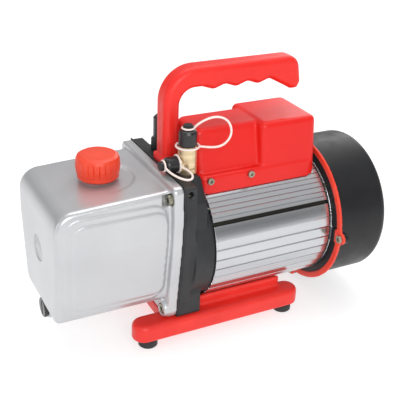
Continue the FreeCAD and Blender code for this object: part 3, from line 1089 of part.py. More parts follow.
def ports():
    """Brass intake fitting with an upright and a side flare port, and the exhaust port behind the handle."""
    body = turned_up("intake_fitting", "port_x", "- port_y", [
        ("0", "stem_floor"), ("stem_radius", "stem_floor"), ("stem_radius", "platform_top"),
        ("port_hex", "platform_top"), ("port_hex", "platform_top + 4"),
        ("port_body - 0.6", "platform_top + 4.6"),
        ("port_body", "platform_top + 5.6"), ("port_body", "port_neck"),
        ("thread_radius + 1.4", "port_neck + 0.8"),
        ("thread_radius + 1.4", "cap_floor - 0.6"), ("thread_radius", "cap_floor - 0.2"),
        ("thread_radius", "thread_top - 1.5"), ("thread_radius - 1.5", "thread_top"), ("0", "thread_top")])
    feature(body, "Pad", draw(body, "YZ_Plane", "side_neck_front - port_x",
        ("0", "side_port_height", "side_neck")),
            "port_x - side_neck_front")
    feature(body, "Pad", draw(body, "YZ_Plane", "side_thread_front - port_x",
        ("0", "side_port_height", "side_thread")),
            "port_x - side_thread_front")
    feature(body, "Pocket", draw(body, "XY_Plane", "thread_top", ("0", "0", "port_bore")),
            "thread_top - stem_floor + 1")
    feature(body, "Pocket", draw(body, "YZ_Plane", "side_thread_front - port_x",
        ("0", "side_port_height", "side_bore")),
            "port_x - side_thread_front", reverse=True)
    turned_up("intake_screen", "port_x", "- port_y", [
        ("screen_radius - 0.5", "screen_floor"), ("screen_radius", "screen_floor"),
        ("screen_radius", "stem_floor"), ("screen_radius - 0.5", "stem_floor")])
    turned_up("intake_cap", "port_x", "- port_y", [
        ("cap_bore", "cap_floor"), ("cap_radius", "cap_floor"), ("cap_radius", "cap_top - cap_shoulder"),
        ("cap_radius - 0.9", "cap_top - 0.9"), ("cap_radius - cap_shoulder", "cap_top"),
        ("knob_neck", "cap_top"),
        ("knob_neck", "knob_neck_top"), ("knob_radius - 0.6", "knob_neck_top"),
        ("knob_radius", "knob_neck_top + 0.6"),
        ("knob_radius", "knob_top - 1"), ("knob_radius - 1", "knob_top"), ("0", "knob_top"),
        ("0", "cap_roof"), ("cap_bore", "cap_roof")])
    turned_up("intake_cap_seal", "port_x", "- port_y", [
        ("0", "thread_top + 0.05"), ("cap_bore - 0.4", "thread_top + 0.05"),
        ("cap_bore - 0.4", "cap_roof - 0.05"),
        ("0", "cap_roof - 0.05")])
    side = turned("side_cap", [
        ("side_cap_back", "side_cap_bore"), ("side_cap_back", "side_cap_radius"),
        ("side_cap_front + 2", "side_cap_radius"), ("side_cap_front + 0.6", "side_cap_radius - 0.6"),
        ("side_cap_front", "side_cap_radius - 2"), ("side_cap_front", "side_knob_neck"),
        ("side_knob_neck_front", "side_knob_neck"), ("side_knob_neck_front", "side_knob"),
        ("side_knob_front + 0.8", "side_knob"), ("side_knob_front", "side_knob - 0.8"),
        ("side_knob_front", "0"),
        ("side_cap_roof", "0"), ("side_cap_roof", "side_cap_bore")])
    seal = turned("side_cap_seal", ring("side_cap_roof + 0.05", "side_thread_front - 0.05", "0",
        "side_cap_bore - 0.4"))
    for item in (side, seal):
        item.setExpression("Placement.Base.z", "dims.side_port_height")
        item.setExpression("Placement.Base.y", "-dims.port_y")

    exhaust = turned_up("exhaust_fitting", "port_x", "port_y", [
        ("port_bore", "stem_floor"), ("stem_radius", "stem_floor"), ("stem_radius", "platform_top"),
        ("exhaust_base - 0.8", "platform_top"), ("exhaust_base", "platform_top + 0.8"),
        ("exhaust_base", "exhaust_base_top - 1"), ("exhaust_base - 1", "exhaust_base_top"),
        ("exhaust_neck", "exhaust_base_top"), ("exhaust_neck", "exhaust_neck_top"),
        ("port_bore", "exhaust_neck_top")])
    flute = feature(exhaust, "Pocket", draw(exhaust, "XY_Plane", "exhaust_base_top", [
        ("exhaust_base - 0.8", "0"), ("exhaust_base + 1", "- 0.9"), ("exhaust_base + 1", "0.9")]),
        "exhaust_base_top - platform_top")
    ring_pattern(exhaust, flute, 24, axis="Z_Axis")
    turned_up("exhaust_cap_seal", "port_x", "port_y", [
        ("exhaust_cap_bore", "exhaust_base_top"), ("exhaust_cap", "exhaust_base_top"),
        ("exhaust_cap", "exhaust_cap_floor"), ("exhaust_cap_bore", "exhaust_cap_floor")])
    turned_up("exhaust_cap", "port_x", "port_y", [
        ("exhaust_cap_bore", "exhaust_cap_floor"), ("exhaust_cap", "exhaust_cap_floor"),
        ("exhaust_cap", "exhaust_cap_top - 2"), ("exhaust_cap - 2", "exhaust_cap_top"),
        ("0", "exhaust_cap_top"),
        ("0", "exhaust_cap_roof"), ("exhaust_cap_bore", "exhaust_cap_roof")])


def smooth_path(points):
    """Straight runs joined by tangent arcs, each arc as large as its two runs allow."""
    edges = []
    last = points[0]
    for before, here, after in zip(points, points[1:], points[2:]):
        arm_in, arm_out = before - here, after - here
        turn_by = math.pi - arm_in.getAngle(arm_out)
        reach = 0.45 * min(arm_in.Length, arm_out.Length)
        start = here + arm_in.normalize() * reach
        end = here + arm_out.normalize() * reach
        radius = reach / math.tan(turn_by / 2)
        inward = (arm_in + arm_out).normalize()
        middle = here + inward * (radius / math.cos(turn_by / 2) - radius)
        edges.append(Part.LineSegment(last, start).toShape())
        edges.append(Part.Arc(start, middle, end).toShape())
        last = end
    edges.append(Part.LineSegment(last, points[-1]).toShape())
    return Part.Wire(edges)


def tether(name, rings, points):
    """Moulded cap tether: an eye at each end and a sprung loop between them."""
    radius = total("tether")
    path = smooth_path(points)
    start = points[1] - points[0]
    section = Part.Wire(Part.Circle(points[0], start, radius).toShape())
    solid = path.makePipeShell([section], True, True)
    for centre, axis, size in rings:
        solid = solid.fuse(Part.makeTorus(size, radius, centre, axis))
    coded(name, solid)


def tethers():
    """The two tethers, each from the neck of its port round to the knob of its cap."""
    x, y = total("port_x"), -total("port_y")
    eye, knob = total("tether_ring_height"), total("tether_knob_height")
    away = Vector(math.cos(math.radians(27.7)), -math.sin(math.radians(27.7)), 0)
    reach = total("tether_reach")
    low = Vector(x, y, eye) + away * total("tether_ring")
    high = Vector(x, y, knob) + away * total("tether_knob_ring")
    across = [(0.25, -0.3), (0.6, 0.6), (0.94, 6.5), (0.99, 14.0), (0.83, 22.0), (0.54, 26.2), (0.25, 24.4)]
    loop = [low]
    loop += [Vector(x, y, eye + rise) + away * (total("tether_ring") + share * reach)
        for share, rise in across]
    loop.append(high)
    up = Vector(0, 0, 1)
    tether("intake_tether", [(Vector(x, y, eye), up, total("tether_ring")),
                             (Vector(x, y, knob), up, total("tether_knob_ring"))], loop)
    height = total("side_port_height")
    neck = Vector(total("side_ring_x"), y, height)
    knob_end = Vector(total("side_knob_ring_x"), y, height)
    start = neck - Vector(0, total("side_tether_ring"), 0)
    end = knob_end - Vector(0, total("side_knob_ring"), 0)
    loop = [start, start + Vector(3.2, -5, -1.6), start + Vector(4.2, -11.5, -3.6),
            start + Vector(0.6, -16, -4.6), start + Vector(-5.6, -14, -4.2), end + Vector(-0.6, -7.2, -2.2), end]
    along_axis = Vector(1, 0, 0)
    tether("side_tether", [(neck, along_axis, total("side_tether_ring")),
                           (knob_end, along_axis, total("side_knob_ring"))], loop)


# ---------------------------------------------------------------- assembly

def check_document():
    """Stop if any object failed to compute or any piece is empty or invalid."""
    doc.recompute()
    for item in doc.Objects:
        if "Invalid" in item.State or "Error" in item.State:
            raise RuntimeError("object failed: %s %s" % (item.Name, item.State))
    for node in NODES:
        if node.Shape.isNull() or not node.Shape.isValid() or not node.Shape.Solids:
            raise RuntimeError("bad shape: %s" % node.Label)


def write_pieces():
    os.makedirs("parts", exist_ok=True)
    for node in NODES:
        node.Shape.exportStep(os.path.join("parts", node.Label + ".step"))


oil_tank()
tank_fittings()
bracket()
pump_module()
baffle()
motor()
end_bell()
motor_bolts()
fan_and_cover()
terminal_box()
box_contents()
base()
feet()
handle()
ports()
tethers()
check_document()
write_pieces()
for piece in NODES:
    print("%-18s solids %2d volume %10.1f" % (piece.Label, len(piece.Shape.Solids), piece.Shape.Volume))
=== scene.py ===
"""Looks of a rotary vane vacuum pump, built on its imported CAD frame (Blender 4.5)."""

import math

import bmesh
import bpy
from mathutils import Matrix, Vector


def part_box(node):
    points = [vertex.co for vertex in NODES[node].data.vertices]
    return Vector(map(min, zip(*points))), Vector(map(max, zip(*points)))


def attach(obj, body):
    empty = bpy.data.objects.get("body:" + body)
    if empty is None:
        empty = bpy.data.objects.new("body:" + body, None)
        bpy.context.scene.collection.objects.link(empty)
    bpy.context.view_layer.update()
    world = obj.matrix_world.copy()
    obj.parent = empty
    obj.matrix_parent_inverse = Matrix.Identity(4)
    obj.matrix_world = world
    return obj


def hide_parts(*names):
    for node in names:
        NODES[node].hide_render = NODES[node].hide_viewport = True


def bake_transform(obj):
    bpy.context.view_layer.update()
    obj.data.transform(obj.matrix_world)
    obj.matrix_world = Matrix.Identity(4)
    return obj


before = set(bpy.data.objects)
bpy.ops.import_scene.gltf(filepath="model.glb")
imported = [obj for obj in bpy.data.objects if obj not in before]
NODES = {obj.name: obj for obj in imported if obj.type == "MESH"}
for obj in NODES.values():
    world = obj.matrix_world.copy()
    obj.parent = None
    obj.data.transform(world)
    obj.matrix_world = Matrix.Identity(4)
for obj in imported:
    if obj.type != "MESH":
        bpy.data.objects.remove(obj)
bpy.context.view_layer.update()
MM = 0.001


def box_of(node):
    """Lowest corner, highest corner and middle of a CAD node."""
    low, high = (Vector(corner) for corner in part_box(node))
    return low, high, (low + high) / 2


# ---------------------------------------------------------------- materials

def new_material(name, color, roughness, metallic=0.0, coat=0.0, specular=0.5):
    """Principled material whose constants sit on the shader's own sockets."""
    material = bpy.data.materials.new(name)
    material.use_nodes = True
    shader = material.node_tree.nodes["Principled BSDF"]
    shader.inputs["Base Color"].default_value = (*color, 1.0)
    shader.inputs["Roughness"].default_value = roughness
    shader.inputs["Metallic"].default_value = metallic
    shader.inputs["Coat Weight"].default_value = coat
    shader.inputs["Coat Roughness"].default_value = 0.15
    shader.inputs["Specular IOR Level"].default_value = specular
    return material, shader


def noise(material, scale, detail, stretch=(1.0, 1.0, 1.0)):
    """Noise over the object's own coordinates, in features per metre."""
    tree = material.node_tree
    place = tree.nodes.new("ShaderNodeTexCoord")
    spread = tree.nodes.new("ShaderNodeMapping")
    spread.inputs["Scale"].default_value = stretch
    field = tree.nodes.new("ShaderNodeTexNoise")
    field.inputs["Scale"].default_value = scale
    field.inputs["Detail"].default_value = detail
    tree.links.new(place.outputs["Object"], spread.inputs["Vector"])
    tree.links.new(spread.outputs["Vector"], field.inputs["Vector"])
    return field


def vary(material, shader, socket, field, low, high, from_min=0.3, from_max=0.7):
    """Drive a shader number between two values by a noise field."""
    tree = material.node_tree
    span = tree.nodes.new("ShaderNodeMapRange")
    span.inputs["From Min"].default_value = from_min
    span.inputs["From Max"].default_value = from_max
    span.inputs["To Min"].default_value = low
    span.inputs["To Max"].default_value = high
    tree.links.new(field.outputs["Fac"], span.inputs["Value"])
    tree.links.new(span.outputs["Result"], shader.inputs[socket])


def tint(material, shader, field, dark, light, from_min=0.35, from_max=0.65):
    """Drift the base colour between two close tones by a noise field."""
    tree = material.node_tree
    ramp = tree.nodes.new("ShaderNodeValToRGB")
    ramp.color_ramp.elements[0].position = from_min
    ramp.color_ramp.elements[0].color = (*dark, 1.0)
    ramp.color_ramp.elements[1].position = from_max
    ramp.color_ramp.elements[1].color = (*light, 1.0)
    tree.links.new(field.outputs["Fac"], ramp.inputs["Fac"])
    tree.links.new(ramp.outputs["Color"], shader.inputs["Base Color"])


def bump(material, shader, field, depth_mm):
    """Raise and sink the surface by a noise field."""
    tree = material.node_tree
    relief = tree.nodes.new("ShaderNodeBump")
    relief.inputs["Strength"].default_value = 1.0
    relief.inputs["Distance"].default_value = depth_mm * MM
    tree.links.new(field.outputs["Fac"], relief.inputs["Height"])
    tree.links.new(relief.outputs["Normal"], shader.inputs["Normal"])


def surface(name, dark, light, roughness, spread=0.06, grain=600.0, grain_depth=0.05, cloud=35.0,
            metallic=0.0, stretch=(1.0, 1.0, 1.0), specular=0.5):
    """Finish with cloudy colour, uneven gloss and a fine grain."""
    material, shader = new_material(name, light, roughness, metallic, specular=specular)
    tint(material, shader, noise(material, cloud, 3.0, stretch), dark, light)
    fine = noise(material, grain, 2.0, stretch)
    vary(material, shader, "Roughness", noise(material, cloud * 3, 4.0, stretch),
         roughness - spread, roughness + spread)
    bump(material, shader, fine, grain_depth)
    return material


CAST_SILVER = surface("cast_silver", (0.53, 0.535, 0.55), (0.57, 0.575, 0.587), 0.32, spread=0.02, grain=1600,
                      grain_depth=0.01, cloud=18.0, metallic=0.60)
RIBBED = surface("bright_extrusion", (0.53, 0.541, 0.565), (0.62, 0.632, 0.65), 0.20, spread=0.05, grain=700,
                 grain_depth=0.02, metallic=0.95, stretch=(0.08, 1.0, 1.0))
BLACK_CAST = surface("black_powder_coat", (0.017, 0.018, 0.020), (0.027, 0.028, 0.030), 0.46, grain=1500,
                     grain_depth=0.06, specular=0.35)
RED_SHELL = surface("red_enamel_box", (0.73, 0.0105, 0.007), (0.75, 0.012, 0.008), 0.36, spread=0.02,
                    grain=900, grain_depth=0.001, specular=0.38)
RED_BASE = surface("red_enamel_base", (0.76, 0.020, 0.013), (0.83, 0.028, 0.018), 0.36, grain=900,
                   grain_depth=0.003)
RED_RING = surface("red_enamel_ring", (0.74, 0.035, 0.014), (0.83, 0.05, 0.02), 0.4, grain=1100,
                   grain_depth=0.03)
RED_HANDLE = surface("red_moulding", (0.77, 0.016, 0.011), (0.83, 0.022, 0.015), 0.40, grain=1800,
                     grain_depth=0.004, specular=0.4)
ORANGE_CAP = surface("orange_moulding", (0.76, 0.046, 0.014), (0.82, 0.062, 0.019), 0.42, grain=1400,
                     grain_depth=0.02)
COVER_BLACK = surface("black_satin_moulding", (0.007, 0.0072, 0.0086), (0.0105, 0.0108, 0.0125), 0.42,
                      grain=1600, grain_depth=0.03, specular=0.35)
FAN_BLACK = surface("black_nylon", (0.015, 0.015, 0.016), (0.022, 0.022, 0.024), 0.5, grain=900,
                    grain_depth=0.03)
BRASS = surface("turned_brass", (0.66, 0.51, 0.31), (0.80, 0.65, 0.42), 0.30, grain=900, grain_depth=0.02,
                metallic=0.85, stretch=(1.0, 1.0, 8.0))
CAP_BLACK = surface("black_cap_moulding", (0.012, 0.012, 0.013), (0.02, 0.02, 0.022), 0.3, grain=1300,
                    grain_depth=0.03)
EXHAUST_BLACK = surface("black_fluted_moulding", (0.014, 0.016, 0.015), (0.024, 0.027, 0.025), 0.38,
                        grain=1200, grain_depth=0.03)
TETHER_WHITE = surface("off_white_polyethylene", (0.80, 0.66, 0.61), (0.88, 0.77, 0.72), 0.42, grain=1300,
                       grain_depth=0.015)
INLET_BLACK = surface("black_phenolic", (0.014, 0.014, 0.015), (0.02, 0.02, 0.022), 0.32, grain=1200,
                      grain_depth=0.02)
ROCKER_BLACK = surface("gloss_rocker", (0.018, 0.018, 0.02), (0.026, 0.026, 0.028), 0.2, spread=0.04,
                       grain=900, grain_depth=0.01)
RUBBER = surface("black_rubber", (0.016, 0.016, 0.017), (0.028, 0.028, 0.029), 0.62, grain=1000,
                 grain_depth=0.05)
ZINC = surface("zinc_plate", (0.26, 0.25, 0.19), (0.40, 0.38, 0.30), 0.32, grain=1300, grain_depth=0.02,
               metallic=0.9)
STEEL = surface("machined_steel", (0.46, 0.46, 0.47), (0.60, 0.60, 0.61), 0.34, grain=900, grain_depth=0.02,
                metallic=0.95, stretch=(6.0, 1.0, 1.0))
IRON = surface("oiled_iron", (0.10, 0.10, 0.105), (0.17, 0.17, 0.18), 0.42, grain=800, grain_depth=0.04,
               metallic=0.8)
LAMINATION = surface("electrical_steel", (0.20, 0.20, 0.22), (0.32, 0.32, 0.34), 0.45, grain=1500,
                     grain_depth=0.06, metallic=0.8, stretch=(4.0, 0.3, 0.3))
COPPER = surface("varnished_copper", (0.42, 0.15, 0.05), (0.66, 0.27, 0.10), 0.35, grain=700, grain_depth=0.2,
                 metallic=0.7, stretch=(1.0, 3.0, 3.0))
FIBRE = surface("vane_composite", (0.10, 0.06, 0.03), (0.17, 0.11, 0.06), 0.55, grain=900, grain_depth=0.03)
CAN = surface("capacitor_can", (0.52, 0.52, 0.54), (0.66, 0.66, 0.68), 0.3, grain=500, grain_depth=0.02,
              metallic=0.9, stretch=(0.2, 1.0, 1.0))


def sight_glass_material():
    """Pale cast-in window: nearly opaque, lightly green, glossy."""
    material, shader = new_material("sight_window", (0.34, 0.36, 0.36), 0.22, coat=0.2, specular=0.35)
    tint(material, shader, noise(material, 120.0, 2.0), (0.27, 0.29, 0.29), (0.40, 0.42, 0.42))
    return material


WINDOW = sight_glass_material()

FINISHES = {
    CAST_SILVER: ["oil_tank"],
    RIBBED: ["motor_housing"],
    BLACK_CAST: ["bracket"],
    RED_SHELL: ["terminal_box"],
    RED_BASE: ["base"],
    RED_RING: ["end_bell"],
    RED_HANDLE: ["handle"],
    ORANGE_CAP: ["oil_filler_cap"],
    COVER_BLACK: ["fan_cover"],
    FAN_BLACK: ["cooling_fan"],
    BRASS: ["intake_fitting"],
    CAP_BLACK: ["intake_cap", "side_cap", "exhaust_cap", "drain_plug"],
    EXHAUST_BLACK: ["exhaust_fitting"],
    TETHER_WHITE: ["intake_tether", "side_tether"],
    INLET_BLACK: ["power_inlet", "switch_frame", "terminal_block"],
    ROCKER_BLACK: ["switch_rocker"],
    RUBBER: ["rubber_feet", "tank_gasket", "filler_seal", "drain_washer", "shaft_seal", "intake_cap_seal",
             "side_cap_seal", "exhaust_cap_seal"],
    ZINC: ["tank_bolts", "box_screws", "cover_screws", "tie_bolts", "tray_screws", "base_bolts",
           "foot_screws", "reed_screws", "pump_bolts", "handle_stud"],
    STEEL: ["motor_shaft", "drive_sleeve", "ball_bearings", "wave_washer", "fan_clip", "box_tray",
            "oil_baffle", "exhaust_reed", "reed_stop", "pump_rotor", "vane_springs", "intake_screen"],
    IRON: ["pump_cylinder", "pump_end_cover"],
    LAMINATION: ["stator_core", "rotor_core"],
    COPPER: ["stator_windings"],
    FIBRE: ["vanes"],
    CAN: ["capacitor"],
    WINDOW: ["sight_glass"],
}


def dress_nodes():
    """Give every CAD node its finish on its own material slots."""
    for material, names in FINISHES.items():
        for name in names:
            piece = NODES[name]
            if not piece.material_slots:
                piece.data.materials.append(material)
            for slot in piece.material_slots:
                slot.material = material


# ---------------------------------------------------------------- stage

FLOOR_HALF = 6.0            # half the floor's side, in metres
FLOOR_GLOW = 0.62
# height of the look on a scale from straight down (0) to straight up (1), and the room's tone there
ROOM_TONES = ((0.50, 0.95), (0.54, 0.42), (0.62, 0.20), (0.72, 0.52), (0.86, 0.64), (1.0, 0.60))
# name, place, aim, size and power of each soft lamp
LAMPS = (
    ("key", (-0.35, -1.2, 0.75), (0, 0, 0.1), (0.9, 0.7), 9.5),
    ("front_fill", (-1.3, -0.2, 0.5), (-0.1, 0, 0.1), (0.8, 0.6), 1.8),
    ("top", (0.2, 0.3, 1.4), (0, 0, 0.1), (1.2, 0.8), 8.0),
    ("rim", (0.9, 0.75, 0.7), (0.1, 0, 0.1), (0.6, 0.6), 3.0),
)


def area_light(name, place, aim, size, power):
    """Rectangular lamp at a place, facing its aim."""
    lamp = bpy.data.lights.new(name, "AREA")
    lamp.shape = "RECTANGLE"
    lamp.size, lamp.size_y = size
    lamp.energy = power
    holder = bpy.data.objects.new(name, lamp)
    holder.location = place
    holder.rotation_euler = (Vector(aim) - Vector(place)).to_track_quat("-Z", "Y").to_euler()
    bpy.context.scene.collection.objects.link(holder)


def surround():
    """Pale room: bright at the floor line, darkest a little above it, mid grey overhead."""
    world = bpy.data.worlds.new("studio")
    world.use_nodes = True
    tree = world.node_tree
    place = tree.nodes.new("ShaderNodeTexCoord")
    split = tree.nodes.new("ShaderNodeSeparateXYZ")
    height = tree.nodes.new("ShaderNodeMapRange")
    height.inputs["From Min"].default_value = -1.0
    ramp = tree.nodes.new("ShaderNodeValToRGB")
    ramp.color_ramp.elements[0].position = ROOM_TONES[0][0]
    ramp.color_ramp.elements[1].position = ROOM_TONES[-1][0]
    for position, _ in ROOM_TONES[1:-1]:
        ramp.color_ramp.elements.new(position)
    for stop, (_, tone) in zip(ramp.color_ramp.elements, ROOM_TONES):
        stop.color = (tone, tone, tone, 1.0)
    tree.links.new(place.outputs["Generated"], split.inputs["Vector"])
    tree.links.new(split.outputs["Z"], height.inputs["Value"])
    tree.links.new(height.outputs["Result"], ramp.inputs["Fac"])
    tree.links.new(ramp.outputs["Color"], tree.nodes["Background"].inputs["Color"])
    tree.nodes["Background"].inputs["Strength"].default_value = 1.0
    bpy.context.scene.world = world


def stage():
    """Plain pale floor, an even pale surround and soft lamps."""
    mesh = bpy.data.meshes.new("floor")
    corners = [(-FLOOR_HALF, -FLOOR_HALF, 0), (FLOOR_HALF, -FLOOR_HALF, 0),
               (FLOOR_HALF, FLOOR_HALF, 0), (-FLOOR_HALF, FLOOR_HALF, 0)]
    mesh.from_pydata(corners, [], [(0, 1, 2, 3)])
    floor = bpy.data.objects.new("floor", mesh)
    material, shader = new_material("pale_floor", (0.5, 0.5, 0.5), 0.9, specular=0.02)
    shader.inputs["Emission Color"].default_value = (1.0, 1.0, 1.0, 1.0)
    shader.inputs["Emission Strength"].default_value = FLOOR_GLOW
    mesh.materials.append(material)
    bpy.context.scene.collection.objects.link(floor)
    surround()
    for lamp in LAMPS:
        area_light(*lamp)


# The camera: angles in degrees, lengths in mm.
VIEW_AZIMUTH, VIEW_ELEVATION, VIEW_ROLL = -27.7, 26.6, 2.2
VIEW_DISTANCE = 721.0
VIEW_AIM = (-3.9, 4.0, 106.7)
SENSOR_WIDTH, FOCAL_LENGTH = 36.0, 72.0


def camera():
    """The viewing angle, from the front left and above, with a slight roll."""
    azimuth, elevation, roll = (math.radians(angle)
                                for angle in (VIEW_AZIMUTH, VIEW_ELEVATION, VIEW_ROLL))
    back = Vector((math.sin(azimuth) * math.cos(elevation), -math.cos(azimuth) * math.cos(elevation),
                   math.sin(elevation)))
    right = Vector((math.cos(azimuth), math.sin(azimuth), 0.0))
    up = back.cross(right)
    tilted_right = right * math.cos(roll) + up * math.sin(roll)
    tilted_up = up * math.cos(roll) - right * math.sin(roll)
    turn = Matrix((tilted_right, tilted_up, back)).transposed()
    aim = Vector(VIEW_AIM) * MM
    data = bpy.data.cameras.new("camera")
    data.sensor_width = SENSOR_WIDTH
    data.lens = FOCAL_LENGTH
    data.clip_start = 0.01
    holder = bpy.data.objects.new("camera", data)
    holder.matrix_world = Matrix.Translation(aim + back * VIEW_DISTANCE * MM) @ turn.to_4x4()
    bpy.context.scene.collection.objects.link(holder)
    bpy.context.scene.camera = holder


# ---------------------------------------------------------------- pieces built here

AXIS_Z = 82.0 * MM          # height of the motor's and pump's axis
WELD = 0.002                # CAD corners closer than this, in mm, are joined before easing
RIM_INNER, RIM_OUTER = 55.5, 58.6     # bare machined rim of the rear bell, radii in mm
PAINTED_SHADE_REACH = 63.8           # apart from that rim, the rear bell is painted black as shade inside this radius, in mm
SHADE_WEB_INNER, SHADE_WEB_OUTER = 57.0, 65.2     # black sheet of painted shade closing the gap between bell and ring, radii in mm
SHADE_WEB_SET_BACK, SHADE_WEB_THICK = 1.2, 1.0
RING_REACH = SHADE_WEB_OUTER + 2.0          # the enamelled ring lies beyond this radius, in mm
BARE_SLOT, PAINTED_SHADE_SLOT = 1, 2           # the rear bell's material slots after its enamel: the bare rim, then black painted shade


def link(name, mesh, material):
    """Smooth-shaded piece of one material, put in the scene."""
    piece = bpy.data.objects.new(name, mesh)
    mesh.materials.clear()
    mesh.materials.append(material)
    mesh.shade_smooth()
    bpy.context.scene.collection.objects.link(piece)
    return piece


def apply_modifiers(piece):
    """Turn the piece's modifiers into its mesh."""
    graph = bpy.context.evaluated_depsgraph_get()
    mesh = bpy.data.meshes.new_from_object(piece.evaluated_get(graph))
    piece.modifiers.clear()
    old = piece.data
    piece.data = mesh
    bpy.data.meshes.remove(old)


def softened(node, body, material, voxel_mm, rounds):
    """The node's form with every edge eased, as a casting, moulding or pressing has."""
    form = bmesh.new()
    form.from_mesh(NODES[node].data)
    bmesh.ops.remove_doubles(form, verts=form.verts, dist=WELD * MM)
    mesh = bpy.data.meshes.new(node + "_form")
    form.to_mesh(mesh)
    form.free()
    piece = bpy.data.objects.new(node + "_form", mesh)
    bpy.context.scene.collection.objects.link(piece)
    cells = piece.modifiers.new("cells", "REMESH")
    cells.mode = "VOXEL"
    cells.voxel_size = voxel_mm * MM
    ease = piece.modifiers.new("ease", "SMOOTH")
    ease.factor = 0.5
    ease.iterations = rounds
    apply_modifiers(piece)
    piece.data.materials.clear()
    piece.data.materials.append(material)
    piece.data.shade_smooth()
    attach(piece, body)
    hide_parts(node)
    return piece


def end_bell_finish(piece):
    """Bare machined rim against the housing, black painted shade over the recess and spokes inside, red
    enamel ring.
    """
    piece.data.materials.append(RIBBED)
    piece.data.materials.append(COVER_BLACK)
    for face in piece.data.polygons:
        reach = math.hypot(face.center.y, face.center.z - AXIS_Z)
        if RIM_INNER * MM < reach < RIM_OUTER * MM:
            face.material_index = BARE_SLOT
        # faces inside the rim are painted black as the shade of the bell's recess and spokes
        elif reach < PAINTED_SHADE_REACH * MM:
            face.material_index = PAINTED_SHADE_SLOT


def bell_shade_web(piece, steps=120):
    """Black sheet of painted shade closing the gap between the bell and its ring, behind the ring's front
    face.
    """
    ring_front = min(vertex.co.x for vertex in piece.data.vertices
                     if math.hypot(vertex.co.y, vertex.co.z - AXIS_Z) > RING_REACH * MM)
    front = ring_front + SHADE_WEB_SET_BACK * MM
    back = front + SHADE_WEB_THICK * MM
    section = ((front, SHADE_WEB_INNER), (front, SHADE_WEB_OUTER), (back, SHADE_WEB_OUTER), (back, SHADE_WEB_INNER))
    form = bmesh.new()
    form.from_mesh(piece.data)
    rows = []
    for k in range(steps):
        around = 2 * math.pi * k / steps
        across, up = MM * math.cos(around), MM * math.sin(around)
        rows.append([form.verts.new((x, reach * across, AXIS_Z + reach * up)) for x, reach in section])
    for k, row in enumerate(rows):
        after = rows[(k + 1) % steps]
        for j in range(len(section)):
            nxt = (j + 1) % len(section)
            # the sheet's faces take the black painted-shade slot
            form.faces.new((row[j], row[nxt], after[nxt], after[j])).material_index = PAINTED_SHADE_SLOT
    bmesh.ops.recalc_face_normals(form, faces=form.faces)
    form.to_mesh(piece.data)
    form.free()


# The housing's outline: angles in degrees above the horizontal, lengths in mm.
HOUSING_RADIUS, HOUSING_BORE = 59.5, 51.6
SLOT_MIDDLE, SLOT_HALF, SLOT_DEEP, SLOT_MARGIN = 30.0, 1.75, 6.0, 3.0
UPPER_START = SLOT_MIDDLE + SLOT_HALF + SLOT_MARGIN
UPPER_PITCH, UPPER_DEEP, UPPER_HALF = 4.5, 0.55, 0.4
LAND_START, BEAD_START, BEAD_RISE = 17.0, 15.8, 0.25
LOWER_START, LOWER_PITCH, LOWER_DEEP, LOWER_HALF = 8.0, 9.0, 1.2, 0.62
FRONT_EASE = 0.35
REAR_EASE = ((3.2, 0.0), (1.6, 0.45), (0.6, 1.3), (0.0, 2.6))     # ahead of the rear face, and drop
SAMPLES, SAMPLE_STEP = 1200, 0.3
SLOT_FLOOR = (53.0, 58.0)   # faces between these radii are the slot's floor and walls
SHARP_ANGLE = 14.0
SLOT_DARK = surface("slot_shadowed_steel", (0.012, 0.011, 0.007), (0.022, 0.020, 0.012), 0.6, grain=500,
                    grain_depth=0.05)


def housing_radius(angle):
    """Outer radius of the extruded housing, in mm, at an angle above the horizontal."""
    if abs(angle - SLOT_MIDDLE) < SLOT_HALF:
        return HOUSING_RADIUS - SLOT_DEEP
    if angle > UPPER_START:
        pitch, first, depth, half = UPPER_PITCH, UPPER_START, UPPER_DEEP, UPPER_HALF
    elif angle > LAND_START:
        return HOUSING_RADIUS
    elif angle > BEAD_START:
        return HOUSING_RADIUS + BEAD_RISE
    else:
        pitch, first, depth, half = LOWER_PITCH, LOWER_START, LOWER_DEEP, LOWER_HALF
    step = (angle - first) % pitch
    from_groove = min(step, pitch - step)
    flat = HOUSING_RADIUS * math.cos(math.radians(pitch / 2)) / math.cos(math.radians(step - pitch / 2))
    if from_groove < half:
        return flat - depth * (1 - from_groove / half)
    return flat


def ring_point(x, angle, radius_mm):
    """Point of the housing at a place along the axis, an angle round it and a radius."""
    radius = radius_mm * MM
    return (x, radius * math.cos(math.radians(angle)), AXIS_Z + radius * math.sin(math.radians(angle)))


def motor_housing():
    """Extruded finned housing: facets between grooves, one open slot each side, eased rear end."""
    low, high, _ = box_of("motor_housing")
    angles = [SAMPLE_STEP * k for k in range(SAMPLES)]
    stations = [(low.x, FRONT_EASE), (low.x + FRONT_EASE * MM, 0.0)]
    stations += [(high.x - ahead * MM, drop) for ahead, drop in REAR_EASE]
    points = []
    for x, drop in stations:
        for angle in angles:
            above = math.degrees(math.asin(math.sin(math.radians(angle))))
            points.append(ring_point(x, angle, housing_radius(above) - drop))
    for x in (high.x, low.x):
        points += [ring_point(x, angle, HOUSING_BORE) for angle in angles]
    rings = len(stations) + 2
    faces = []
    for ring in range(rings):
        after = (ring + 1) % rings
        for k in range(SAMPLES):
            nxt = (k + 1) % SAMPLES
            faces.append((ring * SAMPLES + k, ring * SAMPLES + nxt,
                          after * SAMPLES + nxt, after * SAMPLES + k))
    mesh = bpy.data.meshes.new("housing_skin")
    mesh.from_pydata(points, [], faces)
    piece = link("housing_skin", mesh, RIBBED)
    form = bmesh.new()
    form.from_mesh(mesh)
    bmesh.ops.recalc_face_normals(form, faces=form.faces)
    form.to_mesh(mesh)
    form.free()
    mesh.set_sharp_from_angle(angle=math.radians(SHARP_ANGLE))
    mesh.materials.append(SLOT_DARK)
    dark_slot = len(mesh.materials) - 1
    for face in mesh.polygons:
        reach = math.hypot(face.center.y, face.center.z - AXIS_Z)
        if SLOT_FLOOR[0] * MM < reach < SLOT_FLOOR[1] * MM and abs(face.normal.x) < 0.5:
            face.material_index = dark_slot
    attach(piece, "frame")
    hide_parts("motor_housing")


